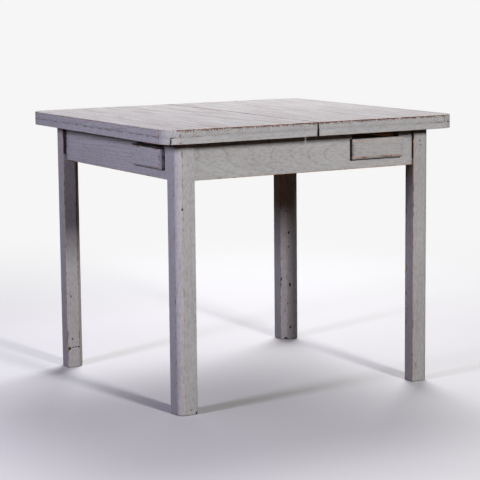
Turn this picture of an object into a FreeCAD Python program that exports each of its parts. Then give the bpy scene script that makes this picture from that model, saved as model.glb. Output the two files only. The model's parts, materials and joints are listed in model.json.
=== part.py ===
import FreeCAD, Part
import os
import re

import Sketcher
from FreeCAD import Placement, Rotation, Vector

# A pull-apart kitchen table, in millimetres. Two equal half tops slide apart
# along X on lopers that run beside grooved rails in a fixed frame of four legs
# and four aprons. Each apron carries one small lipped drawer near its right-hand
# end, as seen from outside. Origin on the floor under the middle of the top, +X
# along the front edge, +Y to the back, +Z up. A half turn about Z maps the table
# onto itself, so the right and back pieces are turned copies of the left and
# front ones.

SIZES = {
    # Half tops: boards across the table with a mitred thickening batten below.
    "table_height": 765.0,
    "half_width": 458.5,
    "seam_gap": 3.0,
    "top_depth": 860.0,
    "board_thickness": 19.0,
    "batten_thickness": 19.0,
    "batten_width": 60.0,
    "corner_cut": 42.0,
    "corner_ease": 6.0,
    "top_arris": 2.0,
    "running_gap": 1.5,
    # Dowels that line the halves up at the seam.
    "dowel_diameter": 10.0,
    "dowel_length": 44.0,
    "dowel_spread": 280.0,
    "dowel_tip": 2.0,
    "dowel_clearance": 0.3,
    # Legs: square posts, the outer corner rounded off, the inner one chamfered.
    "overhang_side": 56.0,
    "overhang_front": 51.0,
    "leg_side": 54.0,
    "leg_round": 17.0,
    "leg_ease": 5.0,
    "leg_chamfer": 15.0,
    "foot_bevel": 2.0,
    # Aprons, tenoned into the legs.
    "apron_thickness": 22.0,
    "apron_setback": 10.0,
    "apron_below_drawer": 26.0,
    "tenon_thickness": 9.0,
    "tenon_shoulder_low": 14.0,
    "tenon_shoulder_high": 22.0,
    "mortise_web": 1.5,
    "joint_clearance": 0.2,
    # Drawers: a lipped front, grooved sides, a back and a loose bottom.
    "finger_gap": 19.0,
    "front_height": 58.0,
    "front_width": 170.0,
    "front_inset": 38.0,
    "side_inset": 28.0,
    "front_lip": 8.0,
    "lip_thickness": 15.0,
    "lip_gap": 0.2,
    "front_bevel": 5.0,
    "plug_depth": 14.0,
    "rabbet_depth": 9.0,
    "drawer_clearance": 1.0,
    "box_wall": 12.0,
    "side_box_length": 290.0,
    "front_rear_gap": 63.0,
    "side_drop": 5.0,
    "back_drop": 4.0,
    "bottom_thickness": 5.0,
    "bottom_rise": 6.0,
    "bottom_groove": 5.0,
    # Runners that carry the drawers by a groove in each side.
    "groove_rise": 18.0,
    "groove_height": 9.0,
    "groove_depth": 6.0,
    "slide_clearance": 0.3,
    "runner_width": 20.0,
    "runner_height": 30.0,
    "drawer_rear_gap": 14.0,
    "cross_height": 46.0,
    "cross_thickness": 22.0,
    "stub_thickness": 10.0,
    "stub_length": 8.0,
    "stub_shoulder": 8.0,
    # Slide rails, the lopers under the half tops and their stops.
    "rail_width": 26.0,
    "rail_leg_gap": 2.0,
    "rail_drawer_gap": 3.0,
    "rail_top_gap": 1.0,
    "rail_end_cover": 4.0,
    "rail_groove_height": 9.0,
    "rail_groove_depth": 7.5,
    "loper_width": 26.0,
    "loper_reach": 190.0,
    "loper_side_gap": 0.4,
    "loper_relief": 1.0,
    "top_travel": 220.0,
    "stop_length": 26.0,
    "stop_height": 12.0,
    # Countersunk screws that hold the lopers to the boards.
    "screw_shank": 4.4,
    "screw_head": 8.8,
    "screw_head_depth": 2.2,
    "screw_length": 34.0,
    "screw_clearance": 0.1,
    # How far a cut runs past the face that it leaves by.
    "overrun": 2.0,
}
BOARD_NAMES = ("outer", "middle", "inner")
BOARDS = len(BOARD_NAMES)
SCREWED_BOARDS = (0, BOARDS - 1)
COUNTERSINK_DEGREES = 45
FOOT_BEVEL_DEGREES = 45
# Points closer together than this are one point.
SAME_SPOT = 0.001

# Heights above the floor.
BOARD_UNDER = "(table_height - board_thickness)"
TOP_UNDER = f"({BOARD_UNDER} - batten_thickness)"
FRAME_TOP = f"({TOP_UNDER} - running_gap)"
FRONT_TOP = f"({TOP_UNDER} - finger_gap)"
FRONT_LOW = f"({FRONT_TOP} - front_height)"
APRON_LOW = f"({FRONT_LOW} - apron_below_drawer)"
APRON_HEIGHT = f"({FRAME_TOP} - {APRON_LOW})"
BOX_LOW = f"({FRONT_LOW} + front_lip + drawer_clearance)"
RAIL_LOW = f"({FRONT_TOP} + rail_drawer_gap)"
RAIL_HEIGHT = f"({BOARD_UNDER} - rail_top_gap - {RAIL_LOW})"
LOPER_LOW = f"({FRAME_TOP} + slide_clearance)"
LOPER_HEIGHT = f"({BOARD_UNDER} - {LOPER_LOW})"

# Distances from the middle of the table.
TOP_X = "(half_width + seam_gap / 2)"
TOP_Y = "(top_depth / 2)"
LEG_OUT_X = f"({TOP_X} - overhang_side)"
LEG_OUT_Y = f"({TOP_Y} - overhang_front)"
LEG_IN_X = f"({LEG_OUT_X} - leg_side)"
LEG_IN_Y = f"({LEG_OUT_Y} - leg_side)"
APRON_OUT_X = f"({LEG_OUT_X} - apron_setback)"
APRON_OUT_Y = f"({LEG_OUT_Y} - apron_setback)"
APRON_IN_X = f"({APRON_OUT_X} - apron_thickness)"
APRON_IN_Y = f"({APRON_OUT_Y} - apron_thickness)"
RAIL_OUT_Y = f"({LEG_IN_Y} - rail_leg_gap)"
RAIL_IN_Y = f"({RAIL_OUT_Y} - rail_width)"
RAIL_MID_Y = f"({RAIL_OUT_Y} - rail_width / 2)"
RAIL_END_X = f"({APRON_OUT_X} - rail_end_cover)"

# Joints between the aprons and the legs.
TENON_OFFSET = "((apron_thickness - tenon_thickness) / 2)"
TENON_LENGTH = (
    "(leg_side - apron_setback - apron_thickness / 2 - tenon_thickness / 2"
    " - mortise_web - 2 * joint_clearance)"
)

# The drawer, in its own frame: x to the right and z outwards as seen from
# outside, y up from the underside of the box, z = 0 on the apron's outer face.
OPENING_HALF = "(front_width / 2 - front_lip)"
BOX_HALF = f"({OPENING_HALF} - drawer_clearance)"
PLUG_TOP = "(front_height - front_lip - drawer_clearance)"
SIDE_HEIGHT = f"({PLUG_TOP} - side_drop)"
SIDE_FRONT = "(rabbet_depth - plug_depth)"
SIDE_BOX_REAR = f"({SIDE_FRONT} - side_box_length)"
CENTRE_FACE = f"(cross_thickness / 2 - {APRON_OUT_Y})"
FRONT_BOX_REAR = f"({CENTRE_FACE} + front_rear_gap)"
BOTTOM_TOP = "(bottom_rise + bottom_thickness)"
GROOVE_MID = "(groove_rise + groove_height / 2)"
BEARER_FACE = f"({SIDE_BOX_REAR} - drawer_rear_gap)"
BEARER_X = f"({APRON_OUT_X} + {BEARER_FACE} - cross_thickness / 2)"
CROSS_LOW = f"({BOX_LOW} + {GROOVE_MID} - cross_height / 2)"

# The half top, in its own frame: x from the outer edge to the seam, y from the
# near edge to the far one, z up. Near is the front on the left half.
BOARD_WIDTH = f"(half_width / {BOARDS})"
CORNER_RADIUS = "(corner_cut + corner_ease)"
CORNER_CENTRE = f"((corner_cut + sqrt(2 * {CORNER_RADIUS} ^ 2 - corner_cut ^ 2)) / 2)"
MITRE = f"({CORNER_CENTRE} - {CORNER_RADIUS} / sqrt(2))"
LOPER_OUTER_FACE = f"({RAIL_OUT_Y} + loper_side_gap)"
LOPER_INNER_FACE = f"({RAIL_IN_Y} - loper_side_gap)"
LOPER_LENGTH = f"({TOP_X} - batten_width + loper_reach)"
NEAR_SCREWS = f"({TOP_Y} - {LOPER_OUTER_FACE} - loper_width / 2)"
FAR_SCREWS = f"({TOP_Y} + {LOPER_INNER_FACE} - loper_width / 2)"

doc = FreeCAD.newDocument("kitchen_table")
sheet = doc.addObject("Spreadsheet::Sheet", "Sizes")
for row, (name, size) in enumerate(SIZES.items(), start=1):
    sheet.set(f"A{row}", name)
    sheet.set(f"B{row}", str(size))
    sheet.setAlias(f"B{row}", name)
doc.recompute()

nodes = []


def formula(text):
    """Turn size names in a sum into references to the sheet's cells."""

    def cell(word):
        return f"Sizes.{word[0]}" if word[0] in SIZES else word[0]

    return re.sub(r"[a-z_]+", cell, text)


def measure(text):
    """The present value of a sum of sizes."""
    return float(sheet.evalExpression(formula(text)))


def minus(text):
    return f"(-({text}))"


def node(label):
    """A new body, to be written out under its label."""
    body = doc.addObject("PartDesign::Body", label)
    body.Label = label
    nodes.append(body)
    return body


def place(body, right, up, x, y, z, turned=False):
    """Point a body's x along right and its y along up, with its origin at x, y, z.

    A turned piece is carried half a turn round the table's upright axis.
    """
    half_turn = Rotation(Vector(0, 0, 1), 180 if turned else 0)
    right = half_turn.multVec(Vector(*right))
    up = half_turn.multVec(Vector(*up))
    body.Placement = Placement(Vector(), Rotation(right, up, right.cross(up), "XYZ"))
    body.setExpression("Placement.Base.x", formula(minus(x) if turned else x))
    body.setExpression("Placement.Base.y", formula(minus(y) if turned else y))
    body.setExpression("Placement.Base.z", formula(z))


def new_sketch(body, plane, level):
    """An empty sketch on one of the body's origin planes, lifted along its normal."""
    base = next(feature for feature in body.Origin.OriginFeatures if feature.Role == plane)
    sketch = body.newObject("Sketcher::SketchObject", "Sketch")
    sketch.AttachmentSupport = (base, [""])
    sketch.MapMode = "FlatFace"
    sketch.setExpression("AttachmentOffset.Base.z", formula(level))
    return sketch


def bound(sketch, kind, *where, text):
    """A dimension of the sketch that follows a sum of sizes."""
    index = sketch.addConstraint(Sketcher.Constraint(kind, *where, measure(text)))
    sketch.setExpression(f"Constraints[{index}]", formula(text))


def bulge(start, end, radius):
    """The middle of the arc that bulges to the right on the way from start to end."""
    chord = end - start
    outward = Vector(chord.y, -chord.x, 0).normalize()
    rise = radius - (radius**2 - chord.Length**2 / 4) ** 0.5
    return (start + end) / 2 + outward * rise


def draw_loop(sketch, points):
    """A closed outline through points (x, y) in named sizes.

    A point with a third entry is reached by an arc of that radius, which bulges
    outwards on an outline that runs counter-clockwise.
    """
    spots = [Vector(measure(point[0]), measure(point[1]), 0) for point in points]
    first = sketch.GeometryCount
    count = len(points)
    starts = []
    for i, start in enumerate(spots):
        end = spots[(i + 1) % count]
        arc_radius = points[(i + 1) % count][2:]
        if arc_radius:
            middle = bulge(start, end, measure(arc_radius[0]))
            edge = Part.ArcOfCircle(start, middle, end)
        else:
            edge = Part.LineSegment(start, end)
        sketch.addGeometry(edge, False)
        starts.append(1 if edge.StartPoint.isEqual(start, SAME_SPOT) else 2)
    joins = []
    for i, here in enumerate(starts):
        after = (i + 1) % count
        joins.append(Sketcher.Constraint("Coincident", first + i, 3 - here, first + after, starts[after]))
    sketch.addConstraint(joins)
    for i, point in enumerate(points):
        bound(sketch, "DistanceX", -1, 1, first + i, starts[i], text=point[0])
        bound(sketch, "DistanceY", -1, 1, first + i, starts[i], text=point[1])
        if point[2:]:
            bound(sketch, "Radius", first + (i - 1) % count, text=point[2])


def draw_circle(sketch, x, y, diameter):
    index = sketch.GeometryCount
    centre = Vector(measure(x), measure(y), 0)
    sketch.addGeometry(Part.Circle(centre, Vector(0, 0, 1), measure(diameter) / 2), False)
    bound(sketch, "DistanceX", -1, 1, index, 3, text=x)
    bound(sketch, "DistanceY", -1, 1, index, 3, text=y)
    bound(sketch, "Diameter", index, text=diameter)


def box(x_low, y_low, x_high, y_high):
    """The outline of an upright rectangle."""
    return [(x_low, y_low), (x_high, y_low), (x_high, y_high), (x_low, y_high)]


def mirrored(points):
    """The same outline on the other side of x = 0."""
    return [(minus(point[0]), *point[1:]) for point in points]


def draw(body, plane, level, loops=(), circles=()):
    sketch = new_sketch(body, plane, level)
    for points in loops:
        draw_loop(sketch, points)
    for x, y, diameter in circles:
        draw_circle(sketch, x, y, diameter)
    return sketch


def pad(body, length, loops=(), circles=(), plane="XY_Plane", level="0", along=True, taper=0):
    """Extrude outlines along the plane's normal or against it."""
    sketch = draw(body, plane, level, loops, circles)
    feature = body.newObject("PartDesign::Pad", "Pad")
    feature.Profile = sketch
    feature.setExpression("Length", formula(length))
    feature.Reversed = not along
    feature.TaperAngle = taper
    doc.recompute()


def cut(body, depth, loops=(), circles=(), plane="XY_Plane", level="0", along=True, taper=0):
    """Sink outlines into the body, along the plane's normal or against it."""
    before = body.Shape.Volume
    sketch = draw(body, plane, level, loops, circles)
    feature = body.newObject("PartDesign::Pocket", "Pocket")
    feature.Profile = sketch
    feature.setExpression("Length", formula(depth))
    feature.Reversed = along
    feature.TaperAngle = taper
    doc.recompute()
    if not body.Shape.Volume < before:
        raise RuntimeError(f"{body.Label}: a cut removed nothing")


def ease_edges(body, kind, dimension, size, chosen):
    """Chamfer or fillet the edges whose middle satisfies chosen(point)."""
    base = body.Tip
    names = []
    for number, edge in enumerate(base.Shape.Edges, start=1):
        if chosen(edge.CenterOfMass):
            names.append(f"Edge{number}")
    feature = body.newObject(f"PartDesign::{kind}", kind)
    feature.Base = (base, names)
    feature.setExpression(dimension, formula(size))
    doc.recompute()


def chamfer(body, size, chosen):
    ease_edges(body, "Chamfer", "Size", size, chosen)


def fillet(body, size, chosen):
    ease_edges(body, "Fillet", "Radius", size, chosen)


def near(value, text):
    return abs(value - measure(text)) < SAME_SPOT


def leg(label, right, up, x, y):
    """A post seen from above: x and y run inwards from its outer corner."""
    body = node(label)
    outline = [
        ("leg_round", "0", "leg_round + leg_ease"),
        ("leg_side", "0"),
        ("leg_side", "leg_side - leg_chamfer"),
        ("leg_side - leg_chamfer", "leg_side"),
        ("0", "leg_side"),
        ("0", "leg_round"),
    ]
    pad(body, f"{FRAME_TOP} - foot_bevel", [outline], level="foot_bevel")
    pad(body, "foot_bevel", [outline], level="foot_bevel", along=False, taper=-FOOT_BEVEL_DEGREES)
    low = f"{APRON_LOW} + tenon_shoulder_low - joint_clearance"
    high = f"{FRAME_TOP} - tenon_shoulder_high + joint_clearance"
    side = f"apron_setback + {TENON_OFFSET}"
    mortise = box(f"{side} - joint_clearance", low, f"{side} + tenon_thickness + joint_clearance", high)
    depth = f"{TENON_LENGTH} + joint_clearance"
    cut(body, depth, [mortise], plane="YZ_Plane", level="leg_side", along=False)
    cut(body, depth, [mortise], plane="XZ_Plane", level="-leg_side", along=True)
    place(body, right, up, x, y, "0")


def apron(label, length, inset, right, x, y, turned):
    """A rail between two legs, seen from outside, with its drawer's notch."""
    body = node(label)
    sill = "apron_below_drawer + front_lip"
    notch_right = f"({length} - {inset} - front_lip)"
    notch_left = f"({notch_right} - 2 * {OPENING_HALF})"
    outline = [
        ("0", "0"),
        (length, "0"),
        (length, APRON_HEIGHT),
        (notch_right, APRON_HEIGHT),
        (notch_right, sill),
        (notch_left, sill),
        (notch_left, APRON_HEIGHT),
        ("0", APRON_HEIGHT),
    ]
    pad(body, "apron_thickness", [outline])
    tenon_top = f"{APRON_HEIGHT} - tenon_shoulder_high"
    for start, end in ((minus(TENON_LENGTH), "0"), (length, f"{length} + {TENON_LENGTH}")):
        tenon = box(start, "tenon_shoulder_low", end, tenon_top)
        pad(body, "tenon_thickness", [tenon], level=TENON_OFFSET)
    place(body, right, (0, 0, 1), x, y, APRON_LOW, turned)
    return body


def stub_mortise(body, middle, plane, level, along, low):
    """A shallow socket for the stub tenon of a cross member."""
    half = "(stub_thickness / 2 + joint_clearance)"
    base = f"({low} + stub_shoulder - joint_clearance)"
    head = f"({low} + cross_height - stub_shoulder + joint_clearance)"
    socket = box(f"{middle} - {half}", base, f"{middle} + {half}", head)
    cut(body, "stub_length + joint_clearance", [socket], plane=plane, level=level, along=along)


def front_apron(label, turned):
    """The long apron, with a socket behind it for the side drawer's bearer."""
    length = f"(2 * {LEG_IN_X})"
    origin = (minus(LEG_IN_X), minus(APRON_IN_Y))
    body = apron(label, length, "front_inset", (1, 0, 0), *origin, turned)
    low = f"({CROSS_LOW} - {APRON_LOW})"
    stub_mortise(body, f"({LEG_IN_X} - {BEARER_X})", "XY_Plane", "0", True, low)


def side_apron(label, turned):
    """The short apron, with sockets for the slide rails and the centre rail."""
    length = f"(2 * {LEG_IN_Y})"
    origin = (minus(APRON_IN_X), LEG_IN_Y)
    body = apron(label, length, "side_inset", (0, -1, 0), *origin, turned)
    low = f"{RAIL_LOW} - {APRON_LOW}"
    near_edge = "(rail_leg_gap - joint_clearance)"
    far_edge = "(rail_leg_gap + rail_width + joint_clearance)"
    high = f"{APRON_HEIGHT} + overrun"
    sockets = [
        box(near_edge, low, far_edge, high),
        box(f"{length} - {far_edge}", low, f"{length} - {near_edge}", high),
    ]
    cut(body, "apron_thickness - rail_end_cover", sockets)
    stub_mortise(body, f"{length} / 2", "XY_Plane", "0", True, f"({CROSS_LOW} - {APRON_LOW})")


def cross_member(label, span):
    """A bar with stub tenons: x along it from shoulder to shoulder, y up, z across."""
    body = node(label)
    pad(body, "cross_thickness", [box("0", "0", span, "cross_height")])
    head = "cross_height - stub_shoulder"
    level = "(cross_thickness - stub_thickness) / 2"
    for start, end in (("-stub_length", "0"), (span, f"{span} + stub_length")):
        pad(body, "stub_thickness", [box(start, "stub_shoulder", end, head)], level=level)
    return body


def centre_rail():
    """The bar between the side aprons that carries the rear ends of the runners."""
    body = cross_member("centre_rail", f"(2 * {APRON_IN_X})")
    for middle, level, along in (
        (f"({APRON_IN_X} - {BEARER_X})", "cross_thickness", False),
        (f"({APRON_IN_X} + {BEARER_X})", "0", True),
    ):
        stub_mortise(body, middle, "XY_Plane", level, along, "0")
    place(body, (1, 0, 0), (0, 0, 1), minus(APRON_IN_X), "cross_thickness / 2", CROSS_LOW)


def bearer(label, turned):
    """The bar behind a side drawer, from the long apron to the centre rail."""
    body = cross_member(label, f"({APRON_IN_Y} - cross_thickness / 2)")
    x = f"(-{BEARER_X} - cross_thickness / 2)"
    place(body, (0, 1, 0), (0, 0, 1), x, minus(APRON_IN_Y), CROSS_LOW, turned)


def slide_rail(label, turned):
    """A rail grooved on both faces: x across, y up, z along it."""
    body = node(label)
    middle = f"({LOPER_LOW} + {LOPER_HEIGHT} / 2 - {RAIL_LOW})"
    groove_low = f"({middle} - rail_groove_height / 2)"
    groove_high = f"({middle} + rail_groove_height / 2)"
    face = "rail_width / 2"
    floor = f"({face} - rail_groove_depth)"
    right_side = [
        (face, "0"),
        (face, groove_low),
        (floor, groove_low),
        (floor, groove_high),
        (face, groove_high),
        (face, RAIL_HEIGHT),
    ]
    section = right_side + mirrored(right_side)[::-1]
    pad(body, f"2 * {RAIL_END_X}", [section])
    place(body, (0, 1, 0), (0, 0, 1), minus(RAIL_END_X), minus(RAIL_MID_Y), RAIL_LOW, turned)


def drawer_place(body, on_side, turned):
    """Put a body in the drawer's frame, on the front or the left apron or turned."""
    if on_side:
        middle = f"({LEG_IN_Y} - side_inset - front_width / 2)"
        place(body, (0, -1, 0), (0, 0, 1), minus(APRON_OUT_X), minus(middle), BOX_LOW, turned)
    else:
        middle = f"({LEG_IN_X} - front_inset - front_width / 2)"
        place(body, (1, 0, 0), (0, 0, 1), middle, minus(APRON_OUT_Y), BOX_LOW, turned)


def drawer_face(label):
    """The bevelled lip over the opening and the plug behind it, in one piece."""
    body = node(label)
    low = "(-front_lip - drawer_clearance)"
    lip = box("-front_width / 2", low, "front_width / 2", PLUG_TOP)
    pad(body, "lip_thickness", [lip], level="lip_gap")
    outer = "lip_gap + lip_thickness"
    chamfer(body, "front_bevel", lambda point: near(point.z, outer))
    plug = box(minus(BOX_HALF), "0", BOX_HALF, PLUG_TOP)
    pad(body, "plug_depth + lip_gap", [plug], level="-plug_depth")
    rabbet = box(f"{BOX_HALF} - box_wall", "-overrun", f"{BOX_HALF} + overrun", SIDE_HEIGHT)
    cut(body, "rabbet_depth", [rabbet, mirrored(rabbet)], level="-plug_depth")
    reach = f"({BOX_HALF} - box_wall + bottom_groove)"
    groove_top = f"{BOTTOM_TOP} + joint_clearance"
    groove = box(minus(reach), "bottom_rise", reach, groove_top)
    cut(body, "bottom_groove", [groove], level="-plug_depth")
    return body


def drawer_side(label, is_right, rear):
    """A board with a runner groove outside and a groove for the bottom inside."""
    body = node(label)
    inner = f"({BOX_HALF} - box_wall)"
    section = [
        (inner, "0"),
        (BOX_HALF, "0"),
        (BOX_HALF, "groove_rise"),
        (f"{BOX_HALF} - groove_depth", "groove_rise"),
        (f"{BOX_HALF} - groove_depth", "groove_rise + groove_height"),
        (BOX_HALF, "groove_rise + groove_height"),
        (BOX_HALF, SIDE_HEIGHT),
        (inner, SIDE_HEIGHT),
        (inner, f"{BOTTOM_TOP} + joint_clearance"),
        (f"{inner} + bottom_groove", f"{BOTTOM_TOP} + joint_clearance"),
        (f"{inner} + bottom_groove", "bottom_rise"),
        (inner, "bottom_rise"),
    ]
    length = f"{SIDE_FRONT} - {rear}"
    pad(body, length, [section if is_right else mirrored(section)], level=rear)
    return body


def drawer_back(label, rear):
    """The board between the sides that stands on the bottom panel."""
    body = node(label)
    inner = f"({BOX_HALF} - box_wall)"
    outline = box(minus(inner), BOTTOM_TOP, inner, f"{SIDE_HEIGHT} - back_drop")
    pad(body, "box_wall", [outline], level=rear)
    return body


def drawer_bottom(label, rear):
    """The panel that slides into the grooves from behind."""
    body = node(label)
    reach = f"({BOX_HALF} - box_wall + bottom_groove - joint_clearance)"
    outline = box(minus(reach), "bottom_rise", reach, BOTTOM_TOP)
    length = f"-plug_depth + bottom_groove - joint_clearance - {rear}"
    pad(body, length, [outline], level=rear)
    return body


def drawer_runners(label, rear_face):
    """Two bars behind the apron, each with a tongue in the drawer's groove."""
    body = node(label)
    tip = f"({OPENING_HALF} - drawer_clearance - groove_depth + slide_clearance)"
    half_tongue = "(groove_height / 2 - slide_clearance)"
    bar = [
        (OPENING_HALF, f"{GROOVE_MID} - runner_height / 2"),
        (f"{OPENING_HALF} + runner_width", f"{GROOVE_MID} - runner_height / 2"),
        (f"{OPENING_HALF} + runner_width", f"{GROOVE_MID} + runner_height / 2"),
        (OPENING_HALF, f"{GROOVE_MID} + runner_height / 2"),
        (OPENING_HALF, f"{GROOVE_MID} + {half_tongue}"),
        (tip, f"{GROOVE_MID} + {half_tongue}"),
        (tip, f"{GROOVE_MID} - {half_tongue}"),
        (OPENING_HALF, f"{GROOVE_MID} - {half_tongue}"),
    ]
    pad(body, f"-apron_thickness - {rear_face}", [bar, mirrored(bar)], level=rear_face)
    return body


def drawer(name, on_side, turned):
    rear = SIDE_BOX_REAR if on_side else FRONT_BOX_REAR
    pieces = [
        drawer_face(f"{name}_drawer_face"),
        drawer_side(f"{name}_drawer_left_side", False, rear),
        drawer_side(f"{name}_drawer_right_side", True, rear),
        drawer_back(f"{name}_drawer_back", rear),
        drawer_bottom(f"{name}_drawer_bottom", rear),
        drawer_runners(f"{name}_drawer_runners", BEARER_FACE if on_side else CENTRE_FACE),
    ]
    for body in pieces:
        drawer_place(body, on_side, turned)


def half_top_place(body, z, turned):
    place(body, (1, 0, 0), (0, 1, 0), minus(TOP_X), minus(TOP_Y), z, turned)


def board_middle(number):
    """Distance from a half top's outer edge to the middle of one of its boards."""
    return f"({number + 0.5} * {BOARD_WIDTH})"


def board(label, number, turned):
    """One board of a half top, counted from the outer edge to the seam."""
    body = node(label)
    start = f"({number} * {BOARD_WIDTH})"
    end = f"({number + 1} * {BOARD_WIDTH})"
    if number == 0:
        outline = [
            ("corner_cut", "0", CORNER_RADIUS),
            (end, "0"),
            (end, "top_depth"),
            ("corner_cut", "top_depth"),
            ("0", "top_depth - corner_cut", CORNER_RADIUS),
            ("0", "corner_cut"),
        ]
    else:
        outline = box(start, "0", end, "top_depth")
    pad(body, "board_thickness", [outline])
    joints = [end] if number == 0 else [start, end]

    def on_rim(point):
        return near(point.z, "board_thickness") and not any(near(point.x, joint) for joint in joints)

    fillet(body, "top_arris", on_rim)
    if number in SCREWED_BOARDS:
        middle = board_middle(number)
        pilot = "screw_shank + 2 * screw_clearance"
        pilots = [(middle, NEAR_SCREWS, pilot), (middle, FAR_SCREWS, pilot)]
        cut(body, f"screw_length - {LOPER_HEIGHT} + screw_clearance", circles=pilots)
    if number == BOARDS - 1:
        bore = "dowel_diameter + 2 * dowel_clearance"
        spots = [f"{TOP_Y} - dowel_spread", TOP_Y, f"{TOP_Y} + dowel_spread"]
        bores = [(spot, "board_thickness / 2", bore) for spot in spots]
        depth = "(dowel_length - seam_gap) / 2 + dowel_clearance"
        cut(body, depth, circles=bores, plane="YZ_Plane", level="half_width", along=False)
    half_top_place(body, BOARD_UNDER, turned)


def end_batten(label, turned):
    """The batten under the outer edge, mitred at both rounded corners."""
    body = node(label)
    outline = [
        (MITRE, MITRE, CORNER_RADIUS),
        ("batten_width", "batten_width"),
        ("batten_width", "top_depth - batten_width"),
        (MITRE, f"top_depth - {MITRE}"),
        ("0", "top_depth - corner_cut", CORNER_RADIUS),
        ("0", "corner_cut"),
    ]
    pad(body, "batten_thickness", [outline])
    half_top_place(body, TOP_UNDER, turned)


def edge_batten(label, far, turned):
    """The batten under the near or far edge, from the mitre to the seam."""
    body = node(label)
    if far:
        outline = [
            (MITRE, f"top_depth - {MITRE}", CORNER_RADIUS),
            ("batten_width", "top_depth - batten_width"),
            ("half_width", "top_depth - batten_width"),
            ("half_width", "top_depth"),
            ("corner_cut", "top_depth"),
        ]
    else:
        outline = [
            (MITRE, MITRE),
            ("corner_cut", "0", CORNER_RADIUS),
            ("half_width", "0"),
            ("half_width", "batten_width"),
            ("batten_width", "batten_width"),
        ]
    pad(body, "batten_thickness", [outline])
    half_top_place(body, TOP_UNDER, turned)


def loper(label, face, turned):
    """A bar that carries a half top: x away from the rail, y up, z to the outer end."""
    body = node(label)
    half_tongue = "(rail_groove_height / 2 - slide_clearance)"
    middle = f"({LOPER_HEIGHT} / 2)"
    tip = "(slide_clearance - rail_groove_depth - loper_side_gap)"
    section = [
        ("0", "0"),
        ("loper_width", "0"),
        ("loper_width", LOPER_HEIGHT),
        ("0", LOPER_HEIGHT),
        ("0", f"{middle} + {half_tongue}"),
        (tip, f"{middle} + {half_tongue}"),
        (tip, f"{middle} - {half_tongue}"),
        ("0", f"{middle} - {half_tongue}"),
    ]
    pad(body, LOPER_LENGTH, [section])
    # Past the seam the bar is planed down to pass under the other half.
    past_seam = box("-overrun", "-overrun", "loper_width + overrun", "loper_reach + seam_gap / 2")
    cut(body, "loper_relief", [past_seam], plane="XZ_Plane", level=minus(LOPER_HEIGHT))
    spots = [f"(loper_reach + {TOP_X} - {board_middle(number)})" for number in SCREWED_BOARDS]
    shafts = [("loper_width / 2", spot, "screw_shank + 2 * screw_clearance") for spot in spots]
    heads = [("loper_width / 2", spot, "screw_head + 2 * screw_clearance") for spot in spots]
    cut(body, LOPER_HEIGHT, circles=shafts, plane="XZ_Plane", along=False)
    sink = "screw_head_depth + screw_clearance"
    cut(body, sink, circles=heads, plane="XZ_Plane", along=False, taper=-COUNTERSINK_DEGREES)
    place(body, (0, -1, 0), (0, 0, 1), "loper_reach", face, LOPER_LOW, turned)


def loper_screws(label, turned):
    """Countersunk screws, upright, in the half top's frame."""
    body = node(label)
    spots = []
    for number in SCREWED_BOARDS:
        middle = board_middle(number)
        spots += [(middle, NEAR_SCREWS), (middle, FAR_SCREWS)]
    shafts = [(x, y, "screw_shank") for x, y in spots]
    heads = [(x, y, "screw_head") for x, y in spots]
    pad(body, "screw_length", circles=shafts)
    pad(body, "screw_head_depth", circles=heads, taper=-COUNTERSINK_DEGREES)
    half_top_place(body, LOPER_LOW, turned)


def stop_block(label, turned):
    """The block under the inner loper that meets the side apron at full travel."""
    body = node(label)
    pad(body, "stop_height", [box("0", "0", "stop_length", "loper_width")])
    x = f"(top_travel - {APRON_IN_X})"
    y = f"({LOPER_INNER_FACE} - loper_width)"
    place(body, (1, 0, 0), (0, 1, 0), x, y, f"{LOPER_LOW} - stop_height", turned)


def seam_dowels(label):
    """Pins along X, fixed in the left half, that enter the right half."""
    body = node(label)
    spots = [minus("dowel_spread"), "0", "dowel_spread"]
    circles = [(spot, "0", "dowel_diameter") for spot in spots]
    pad(body, "dowel_length", circles=circles, plane="YZ_Plane", level="-dowel_length / 2")
    chamfer(body, "dowel_tip", lambda point: near(point.x, "dowel_length / 2"))
    place(body, (1, 0, 0), (0, 1, 0), "0", "0", f"{BOARD_UNDER} + board_thickness / 2")


def half_top(name, near_name, far_name, turned):
    for number, title in enumerate(BOARD_NAMES):
        board(f"{name}_top_{title}_board", number, turned)
    end_batten(f"{name}_top_end_batten", turned)
    edge_batten(f"{name}_top_{near_name}_batten", False, turned)
    edge_batten(f"{name}_top_{far_name}_batten", True, turned)
    loper(f"{name}_top_{near_name}_loper", minus(LOPER_OUTER_FACE), turned)
    loper(f"{name}_top_{far_name}_loper", LOPER_INNER_FACE, turned)
    stop_block(f"{name}_top_stop_block", turned)
    loper_screws(f"{name}_top_loper_screws", turned)


leg("leg_front_left", (1, 0, 0), (0, 1, 0), minus(LEG_OUT_X), minus(LEG_OUT_Y))
leg("leg_front_right", (0, 1, 0), (-1, 0, 0), LEG_OUT_X, minus(LEG_OUT_Y))
leg("leg_back_right", (-1, 0, 0), (0, -1, 0), LEG_OUT_X, LEG_OUT_Y)
leg("leg_back_left", (0, -1, 0), (1, 0, 0), minus(LEG_OUT_X), LEG_OUT_Y)
front_apron("apron_front", False)
front_apron("apron_back", True)
side_apron("apron_left", False)
side_apron("apron_right", True)
centre_rail()
bearer("left_drawer_bearer", False)
bearer("right_drawer_bearer", True)
slide_rail("slide_rail_front", False)
slide_rail("slide_rail_back", True)
drawer("front", False, False)
drawer("left", True, False)
drawer("back", False, True)
drawer("right", True, True)
half_top("left", "front", "back", False)
half_top("right", "back", "front", True)
seam_dowels("seam_dowels")

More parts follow.
